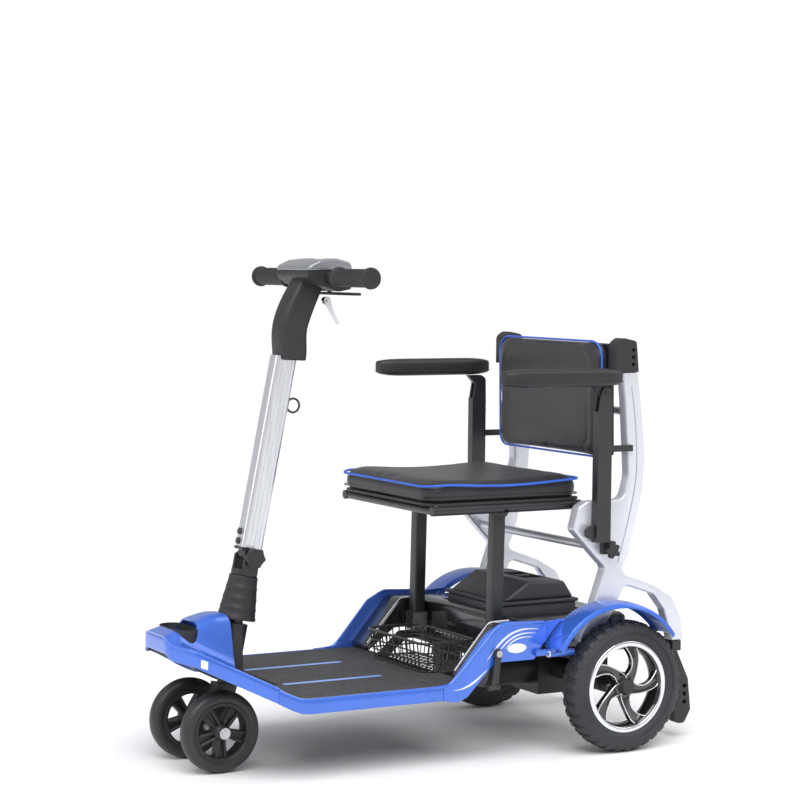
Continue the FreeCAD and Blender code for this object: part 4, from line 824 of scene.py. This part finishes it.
for side, low, hand in sides:
    parts = [guard(hand)]
    a = math.radians(fender["first"])
    tip = Vector((fender["x"] + fender["radius"] * math.cos(a), 0,
                  fender["z"] + fender["radius"] * math.sin(a)))
    start = at(tip.x - 57, hand * 243, tip.z - 13)
    parts.append(soften(rod("stay", 0.0068, 0.054, alongX(start), 32), 0.0008, 2))
    parts.append(slab("stayEar", [(tip.x - 14, tip.z - 12), (tip.x - 2, tip.z - 12),
                                  (tip.x - 2, tip.z - 1), (tip.x - 14, tip.z - 1)],
                      hand * 0.243, 0.012, 0.001, 2))
    parts.append(slab("stayFoot", [(tip.x - 8, tip.z - 16), (tip.x + 26, tip.z - 16),
                                   (tip.x + 26, tip.z - 4), (tip.x - 8, tip.z - 4)],
                      hand * 0.2393, 0.008, 0.0015, 2))
    fit(joined("fender" + side, parts), bluePaint, "chassis", "blue_paint",
        *(["fenders"] if hand > 0 else []))
    button = soften(rod("stayEnd", 0.0072, 0.004, alongX(start + Vector((0.054, 0, 0))), 32),
                    0.0012, 3)
    button.name = "stayEnd" + side
    fit(button, machined, "chassis", "steel")
print("fenders made")

# black rear body, ramps and battery

rearCover = [(-412, 192.5), (-150, 192.5), (-150, 252, 10), (-162, 258, 8), (-400, 258, 8),
             (-412, 250, 8)]
coverTop = slab("rearCover", rearCover, 0, 0.372, 0.006, 4)
hole = slab("wellCut", [(-353, 243), (-171, 243), (-171, 300), (-353, 300)], 0, 0.232, 0)
carve(coverTop, hole)
fit(coverTop, glossBlack, "chassis", "gloss_black", "rear_body_cover")
ramps = []
paintedHighlightLines = []
for side, low, hand in sides:
    outline = [(-149.7, 196), (-92, 196, 14), (-34, 154.3), (-26, 154.3), (-26, 164, 8),
               (-104, 256, 22), (-149.7, 256)]
    ramps.append(slab("ramp", outline, hand * 0.1986, 0.0602, 0.004, 4, 8))
    # white wire along each ramp housing's top edge: a painted highlight standing in for light
    # caught by the edge, not a real trim
    line = [(-149, 256.4), (-112, 256.4), (-100, 253), (-30, 169)]
    points = [(p[0] * mm, hand * 0.1725, p[1] * mm) for p in line]
    paintedHighlightLines.append(wire("paintedRampHighlight", points, 0.0013, smooth=True))
fit(joined("rampHousings", ramps), glossBlack, "chassis", "gloss_black", "ramp_housings")
# the painted highlight lines on the ramp edges take the white badge colour
fit(joined("paintedRampHighlights", paintedHighlightLines), whiteBadgeAndRampHighlight, "chassis", "gloss_black")

case = slab("batteryCase", [(-346, 184.4), (-178, 184.4), (-178, 272), (-346, 272)], 0, 0.216,
            0.004)
rimBand = slab("batteryRim", [(-350, 272.3), (-174, 272.3), (-174, 279, 2), (-350, 279, 2)], 0,
               0.222, 0.002)
lid = slab("batteryLid", [(-346, 279), (-180, 279), (-238, 316, 10), (-322, 313, 10)], 0,
           0.204, 0.007, 4)
carve(lid, slab("gripCut", [(-312, 308), (-262, 308), (-262, 330), (-312, 330)], 0, 0.09, 0))
handle = slab("batteryHandle", [(-306, 309), (-268, 309), (-272, 314.5, 2), (-302, 314.5, 2)], 0,
              0.012, 0.002)
fit(joined("batteryPack", [case, rimBand, lid, handle]), greyPlastic, "battery",
    "grey_plastic", "battery_pack")
print("rear body made")

# silver side frames and their cross tubes

frameLine = [(-374, 728), (-380, 674, 40), (-390, 528, 60), (-378, 482, 20), (-295, 482, 14),
             (-275, 472, 14), (-263, 428, 8), (-311, 378, 8), (-338, 352, 12), (-306, 262, 30),
             (-275, 212, 13), (-304, 203, 13), (-352, 256, 12), (-376, 300, 10), (-384, 316, 12),
             (-452, 294, 14), (-478, 262, 16), (-499, 198.5), (-527, 198.5), (-521, 240, 20),
             (-497, 286, 24), (-448, 314, 24), (-374, 340, 12), (-391, 372, 30), (-423, 498, 60),
             (-427, 566, 60), (-415, 673, 60), (-407, 728)]
parts = [slab("frame", frameLine, hand * 0.206, 0.026, 0.0035, 4, 8) for _, _, hand in sides]
for x, z in ((-312, 394), (-404, 650)):
    parts.append(rod("cross", 0.008, 0.386, alongY(at(x, -193, z)), 40))
for _, _, hand in sides:
    start = at(-295, hand * 184.15 - 8.85, 466)
    parts.append(rod("pin", 0.005, 0.0177, alongY(start), 24))
fit(joined("sideFrames", parts), silverPaint, "back", "silver_paint", "side_frames", angle=45)
inlays = []
for _, _, hand in sides:
    line = [(-392, 700), (-400, 660), (-409, 560), (-404, 500), (-384, 420), (-366, 360)]
    points = [(p[0] * mm, hand * 0.2189, p[1] * mm) for p in line]
    inlays.append(wire("channel", points, 0.0011, smooth=True))
fit(joined("frameChannels", inlays), steel, "back", "silver_paint")

posts = []
for _, _, hand in sides:
    outline = [(-142, 204, 11.7), (-118, 204, 11.7), (-123, 478, 11.7), (-147, 478, 11.7)]
    posts.append(slab("post", outline, hand * 0.148, 0.026, 0.003, 4, 8))
    start = at(-135, hand * 152 - 17.5, 466)
    posts.append(rod("pin", 0.005, 0.035, alongY(start), 24))
fit(joined("seatPosts", posts), blackFrame, "posts", "black_frame", "seat_posts")
print("frames made")


# seat, backrest and armrest pads

def puff(obj, voxel, pressure, cap):
    remesh = obj.modifiers.new("remesh", "REMESH")
    remesh.mode = "VOXEL"
    remesh.voxel_size = voxel
    settle(obj)
    start = [v.co.copy() for v in obj.data.vertices]
    cloth = obj.modifiers.new("cloth", "CLOTH")
    cloth.settings.quality = 5
    cloth.settings.use_pressure = True
    cloth.settings.uniform_pressure_force = pressure
    cloth.settings.effector_weights.gravity = 0
    cloth.settings.tension_stiffness = 20
    cloth.settings.compression_stiffness = 20
    cloth.settings.shear_stiffness = 10
    for k in range(1, 21):
        scene.frame_set(k)
    settle(obj)
    for v, old in zip(obj.data.vertices, start):
        move = v.co - old
        if move.length > cap:
            v.co = old + move.normalized() * cap
    scene.frame_set(1)
    return obj


seatPad = {"front": 34, "rear": -306, "half": 179, "low": 487, "top": 527, "corner": 34,
           "dip": 7, "piping": 0.0024}


def seatOutline(inset):
    s = seatPad
    r = s["corner"] - inset * 0.5
    points = [(s["rear"] + inset, -s["half"] + inset, r * 0.7),
              (s["front"] - inset, -s["half"] + inset, r),
              (s["front"] - inset, s["half"] - inset, r),
              (s["rear"] + inset, s["half"] - inset, r * 0.7)]
    return spaced(rounded(points, 9), 16)


def seatTop(x):
    t = (x - seatPad["rear"]) / (seatPad["front"] - seatPad["rear"])
    return seatPad["top"] - seatPad["dip"] * math.sin(math.pi * min(1, max(0, t * 1.02))) ** 1.5 \
        - 5 * max(0, (t - 0.82) / 0.18) ** 2


def seatCushion():
    rings = []
    base = seatOutline(0)
    centre = sum(base, Vector((0, 0))) / len(base)
    for inset, share in ((16, 0), (7, 0.02), (2, 0.18), (0, 0.45), (0.5, 0.72), (3, 0.86)):
        ring = []
        for p in base:
            q = p + (centre - p).normalized() * inset
            low = seatPad["low"]
            high = seatTop(p.x) - 4
            ring.append(at(q.x, q.y, low + (high - low) * share))
        rings.append(ring)
    for share, lift in ((0.97, -2.5), (0.9, -0.5), (0.75, 0.5), (0.55, 1), (0.3, 1), (0.08, 1)):
        ring = []
        for p in base:
            q = centre.lerp(p, share)
            ring.append(at(q.x, q.y, seatTop(q.x) + lift))
        rings.append(ring)
    return loft("seatCushion", rings)


cushion = seatCushion()
puff(cushion, 0.005, 3.0, 0.004)
subdivide(cushion)
fit(cushion, leather, "seat", "seat_fabric", "seat_cushion", angle=60)
edge = [at(p.x, p.y, seatTop(p.x) - 4.5) for p in seatOutline(-0.6)]
fit(wire("seatPiping", edge, seatPad["piping"], closed=True, smooth=True), bluePiping, "seat",
    "seat_fabric")
lowEdge = [at(p.x, p.y, seatPad["low"] + 7) for p in seatOutline(-0.4)]
fit(wire("seatSeam", lowEdge, 0.0012, closed=True, smooth=True), leather, "seat", "seat_fabric")

backPad = {"low": 562, "high": 786, "half": 186}


def backFace(z):
    t = (z - backPad["low"]) / (backPad["high"] - backPad["low"])
    return -366 + 4 * t


def backCushion():
    b = backPad
    rings = []
    cornered = rounded([(b["low"], -b["half"], 24), (b["high"], -b["half"], 34),
                        (b["high"], b["half"], 34), (b["low"], b["half"], 24)], 8)
    full = spaced(cornered, 14)
    centre = sum(full, Vector((0, 0))) / len(full)
    for inset, depth in ((9, 0.6), (3, 1.5), (0, 8), (0.5, 14), (5, 20)):
        ring = []
        for p in full:
            q = p + (centre - p).normalized() * inset
            ring.append(at(backFace(q.x) + depth, q.y, q.x))
        rings.append(ring)
    for share, depth in ((0.93, 23), (0.84, 24.5), (0.81, 22.6), (0.78, 24.5), (0.6, 26),
                         (0.35, 26), (0.1, 26)):
        ring = []
        for p in full:
            q = centre.lerp(p, share)
            hollow = 5 * (1 - (q.y / b["half"]) ** 2) - 2
            ring.append(at(backFace(q.x) + depth - hollow, q.y, q.x))
        rings.append(ring)
    return loft("backCushion", rings), full


backRest, backEdge = backCushion()
puff(backRest, 0.0045, 2.0, 0.003)
subdivide(backRest)
fit(backRest, leather, "back", "seat_fabric", "backrest_cushion", angle=60)
edge = [at(backFace(p.x) + 17.5, p.y, p.x) for p in backEdge]
fit(wire("backPiping", edge, 0.0021, closed=True, smooth=True), bluePiping, "back",
    "seat_fabric")

for side, low, hand in sides:
    lowPad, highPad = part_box("armrest_pad_" + low)
    length, wide, tall = (highPad - lowPad) * 0.5
    mid = (lowPad + highPad) / 2
    rings = []
    count = 13
    for k in range(count):
        t = k / (count - 1) * 2 - 1
        taper = max(0.55, (1 - abs(t) ** 9) ** 0.5)
        x = mid.x + length * t * (1 if abs(t) < 1 else 0.995)
        rings.append([Vector((x, mid.y + p[0], mid.z + p[1] + (0.001 if t > 0.9 else 0)))
                      for p in superOval(wide * taper, tall * (0.4 + 0.6 * taper), 3.6, 28)])
    pad = loft("armPad" + side, rings)
    subdivide(soften(pad, 0.003, 2, 50))
    fit(pad, padSkin, "arm_pad_" + low, "soft_pad", "armrest_pad_" + low, angle=70)
    seam = [Vector((mid.x + (length - 0.0006) * p[0], mid.y + (wide - 0.0004) * p[1],
                    mid.z - tall * 0.45)) for p in superOval(1, 1, 7, 60)]
    fit(wire("armSeam" + side, seam, 0.0007, closed=True), blackPlastic, "arm_pad_" + low,
        "soft_pad")
print("cushions made")


# tiller: fluted tube, shroud, head and grips

def onTiller(u, w, y=0.0):
    return steerAxis @ Vector((u, y, w))


tube = {"start": 0.016, "end": 0.378, "deep": 0.022, "wide": 0.018, "flutes": 3}


def flutedTube():
    ring = []
    corner = 0.008
    base = rounded([(-tube["deep"], -tube["wide"], corner), (tube["deep"], -tube["wide"], corner),
                    (tube["deep"], tube["wide"], corner), (-tube["deep"], tube["wide"], corner)], 5)
    count = len(base)
    for i, p in enumerate(base):
        q = base[(i + 1) % count]
        ring.append(p)
        if (q - p).length > 0.012:
            along = (q - p).normalized()
            inward = Vector((-along.y, along.x))
            flutes = tube["flutes"]
            room = (q - p).length / flutes
            for k in range(flutes):
                start = p + along * room * (k + 0.3)
                ring += [start, start + inward * 0.0011 + along * room * 0.08,
                         start + inward * 0.0011 + along * room * 0.32,
                         start + along * room * 0.4]
    rows = [[onTiller(p.x, w, p.y) for p in ring] for w in (tube["start"], tube["end"])]
    return loft("tillerTube", rows)


fit(flutedTube(), aluminium, "tiller", "aluminium", "tiller_tube", angle=25)

shroudStations = [(236, 750, 28, 25), (235, 768, 28.5, 26.5), (237, 790, 29, 27),
                  (236, 812, 29, 27), (228, 836, 29, 27), (216, 862, 28, 26.5),
                  (203, 886, 26, 26), (194, 902, 24, 25)]
rings = []
for i, (x, z, deep, wide) in enumerate(shroudStations):
    before = shroudStations[max(0, i - 1)]
    after = shroudStations[min(len(shroudStations) - 1, i + 1)]
    along = Vector((after[0] - before[0], 0, after[1] - before[1])).normalized()
    ahead = Vector((along.z, 0, -along.x))
    rings.append([Vector((x, 0, z)) * mm + ahead * p[0] * mm + Vector((0, p[1], 0)) * mm
                  for p in superOval(deep, wide, 4.5, 36)])
shroud = loft("tillerShroud", rings)
soften(shroud, 0.003, 3, 50)
subdivide(shroud)
fit(shroud, blackPlastic, "tiller", "black_plastic", "upper_shroud", angle=60)

cover = slab("headCover", [(138, 918), (232, 918), (228, 927, 9), (206, 937, 14), (172, 941, 30),
                           (142, 934, 8)], 0, 0.136, 0.009, 6, 8)
cut = slab("screenCut", [(146, 935), (186, 938.2), (186, 950), (146, 950)], 0, 0.062, 0)
carve(cover, cut)
fit(cover, greyCover, "tiller", "grey_cover", "head_cover")
glass = slab("gaugeGlass", [(147, 932), (185, 935), (185, 938.4), (147, 935.4)], 0, 0.060,
             0.0008, 2)
fit(glass, screen, "tiller", "black_plastic")
lights = []
for k in range(5):
    lights.append(slab("light", [(176, 938.0), (180, 938.3), (180, 939.0), (176, 938.7)],
                       (k - 2) * 0.009, 0.005, 0.0003, 1))
gaugeLights = joined("gaugeLights", lights)
litGreen = surface("gaugeGreen", (0.05, 0.5, 0.12), 0.3, coat=0.6, grainScale=600, bump=0.02)
fit(gaugeLights, litGreen, "tiller", "grey_cover")

grips = []
for side, low, hand in sides:
    profile = [(0.102, 0.0111), (0.102, 0.0198), (0.1035, 0.0202), (0.107, 0.0202),
               (0.1085, 0.0185), (0.1105, 0.0165)]
    for k in range(22):
        start = 0.112 + k * 0.0049
        profile += [(start, 0.0163), (start + 0.0012, 0.0169), (start + 0.0028, 0.0169),
                    (start + 0.0040, 0.0163)]
    profile += [(0.2215, 0.0165), (0.2225, 0.0195), (0.2245, 0.0199), (0.2282, 0.0196),
                (0.2298, 0.0165), (0.2298, 0.0), (0.2274, 0.0), (0.2274, 0.0111)]
    place = Matrix.Translation((0.186, 0, 0.905)) @ Matrix.Rotation(-math.pi / 2 * hand, 4, "X")
    grips.append(lathe("grip", profile, place, 48))
fit(joined("handGrips", grips), gripRubber, "tiller", "rubber", "handlebar_grips", angle=50)

boot = [(-0.118, 0.0335), (-0.118, 0.0362), (-0.114, 0.0366), (-0.111, 0.0352), (-0.100, 0.0338),
        (-0.097, 0.0345), (-0.094, 0.0332), (-0.082, 0.0318), (-0.079, 0.0324), (-0.076, 0.0312),
        (-0.062, 0.0292), (-0.059, 0.0298), (-0.056, 0.0286), (-0.044, 0.0272), (-0.040, 0.0274),
        (-0.037, 0.0266), (-0.0362, 0.0235), (-0.0362, 0.0142), (-0.040, 0.0142),
        (-0.042, 0.0220)]
fit(lathe("columnBoot", boot, steerAxis, 64), bootRubber, "column", "rubber", "column_boot",
    angle=60)
print("tiller made")


# wire basket

def wireBasket():
    low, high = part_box("basket")
    r = 0.0016
    thick = 0.0026
    parts = []

    def hoop(z, inset, radius):
        x0, x1 = low.x + inset, high.x - inset
        y0, y1 = low.y + inset, high.y - inset
        corners = [(x0, y0, 0.018), (x1, y0, 0.018), (x1, y1, 0.018), (x0, y1, 0.018)]
        points = [Vector((p.x, p.y, z)) for p in rounded(corners, 5)]
        parts.append(wire("hoop", points, radius, closed=True))

    taper = 0.010
    top = high.z - thick
    base = low.z + r
    hoop(top, thick, thick)
    for share in (0.34, 0.68):
        hoop(top + (base - top) * share, r + taper * share, r)
    hoop(base, r + taper, r)
    across = 12
    for k in range(across + 1):
        y = low.y + 0.02 + (high.y - low.y - 0.04) * k / across
        yLow = y * (1 - 0.06)
        points = [(low.x + r, y, top), (low.x + r + taper, yLow, base),
                  (high.x - r - taper, yLow, base), (high.x - r, y, top)]
        parts.append(wire("hoopWire", points, r * 0.85))
    along = 6
    for k in range(along + 1):
        x = low.x + 0.018 + (high.x - low.x - 0.036) * k / along
        points = [(x, low.y + r, top), (x, low.y + r + taper, base),
                  (x, high.y - r - taper, base), (x, high.y - r, top)]
        parts.append(wire("longWire", points, r * 0.85))
    return joined("wireBasket", parts)


fit(wireBasket(), wireCoat, "basket", "wire", "basket")
print("basket made")

# red reflectors at the rear
parts = []
for _, _, hand in sides:
    parts.append(slab("rearReflector", [(-522.5, 181, 1), (-520.2, 181), (-520.2, 197),
                                        (-522.5, 197, 1)], hand * 0.150, 0.044, 0.0006, 2))
fit(joined("rearReflectors", parts), redReflector, "chassis", "black_plastic")


# floor, lights and camera

stage = {"floor": 80.0, "sky": 0.48, "sun": 2.8, "sunSpread": 0.9, "fill": 20.0, "back": 30.0,
         "lampSize": 2.4, "aim": (0, 0, 0.4)}


def makeStage():
    scene.view_settings.view_transform = "Standard"
    scene.view_settings.look = "None"
    bpy.ops.mesh.primitive_plane_add(size=stage["floor"], location=(0, 0, 0))
    floor = bpy.context.object
    floor.name = "floor"
    floor.data.materials.append(surface("paleFloor", (0.9, 0.9, 0.91), 0.75, mottle=0.01,
                                        grainScale=60, bump=0.02, spec=0.2))
    world = bpy.data.worlds.new("studio")
    scene.world = world
    world.use_nodes = True
    nodes, links = world.node_tree.nodes, world.node_tree.links
    lit = nodes["Background"]
    lit.inputs["Color"].default_value = (0.97, 0.98, 1.0, 1)
    lit.inputs["Strength"].default_value = stage["sky"]
    seen = nodes.new("ShaderNodeBackground")
    seen.inputs["Color"].default_value = (1, 1, 1, 1)
    seen.inputs["Strength"].default_value = 1.0
    path = nodes.new("ShaderNodeLightPath")
    mix = nodes.new("ShaderNodeMixShader")
    links.new(path.outputs["Is Camera Ray"], mix.inputs[0])
    links.new(lit.outputs[0], mix.inputs[1])
    links.new(seen.outputs[0], mix.inputs[2])
    links.new(mix.outputs[0], nodes["World Output"].inputs["Surface"])
    sun = bpy.data.lights.new("keySun", "SUN")
    sun.energy = stage["sun"]
    sun.angle = stage["sunSpread"]
    lamps = [(sun, (1.2, 2.4, 4.0))]
    for name, place, power in (("fillLight", (3.0, -0.6, 1.8), stage["fill"]),
                               ("backLight", (-2.6, 1.0, 2.6), stage["back"])):
        data = bpy.data.lights.new(name, "AREA")
        data.energy = power
        data.size = stage["lampSize"]
        lamps.append((data, place))
    for data, place in lamps:
        lamp = bpy.data.objects.new(data.name, data)
        lamp.location = place
        aim = Vector(stage["aim"]) - Vector(place)
        lamp.rotation_euler = aim.to_track_quat("-Z", "Y").to_euler()
        scene.collection.objects.link(lamp)


cameraView = {"place": (2.1137, 3.7650, 0.9295), "yaw": 29.35, "pitch": 3.44, "roll": 0.58,
              "lens": 100.97, "sensor": 36.0}


def makeCamera():
    c = cameraView
    yaw, pitch, roll = (math.radians(c[k]) for k in ("yaw", "pitch", "roll"))
    ahead = Vector((-math.sin(yaw) * math.cos(pitch), -math.cos(yaw) * math.cos(pitch),
                    -math.sin(pitch)))
    right = ahead.cross(Vector((0, 0, 1))).normalized()
    up = right.cross(ahead)
    rightRolled = right * math.cos(roll) + up * math.sin(roll)
    upRolled = -right * math.sin(roll) + up * math.cos(roll)
    data = bpy.data.cameras.new("camera")
    data.lens = c["lens"]
    data.sensor_width = c["sensor"]
    camera = bpy.data.objects.new("camera", data)
    turn = Matrix((rightRolled, upRolled, -ahead)).transposed()
    camera.matrix_world = Matrix.Translation(c["place"]) @ turn.to_4x4()
    scene.collection.objects.link(camera)
    scene.camera = camera


makeStage()
makeCamera()
print("stage and camera made")
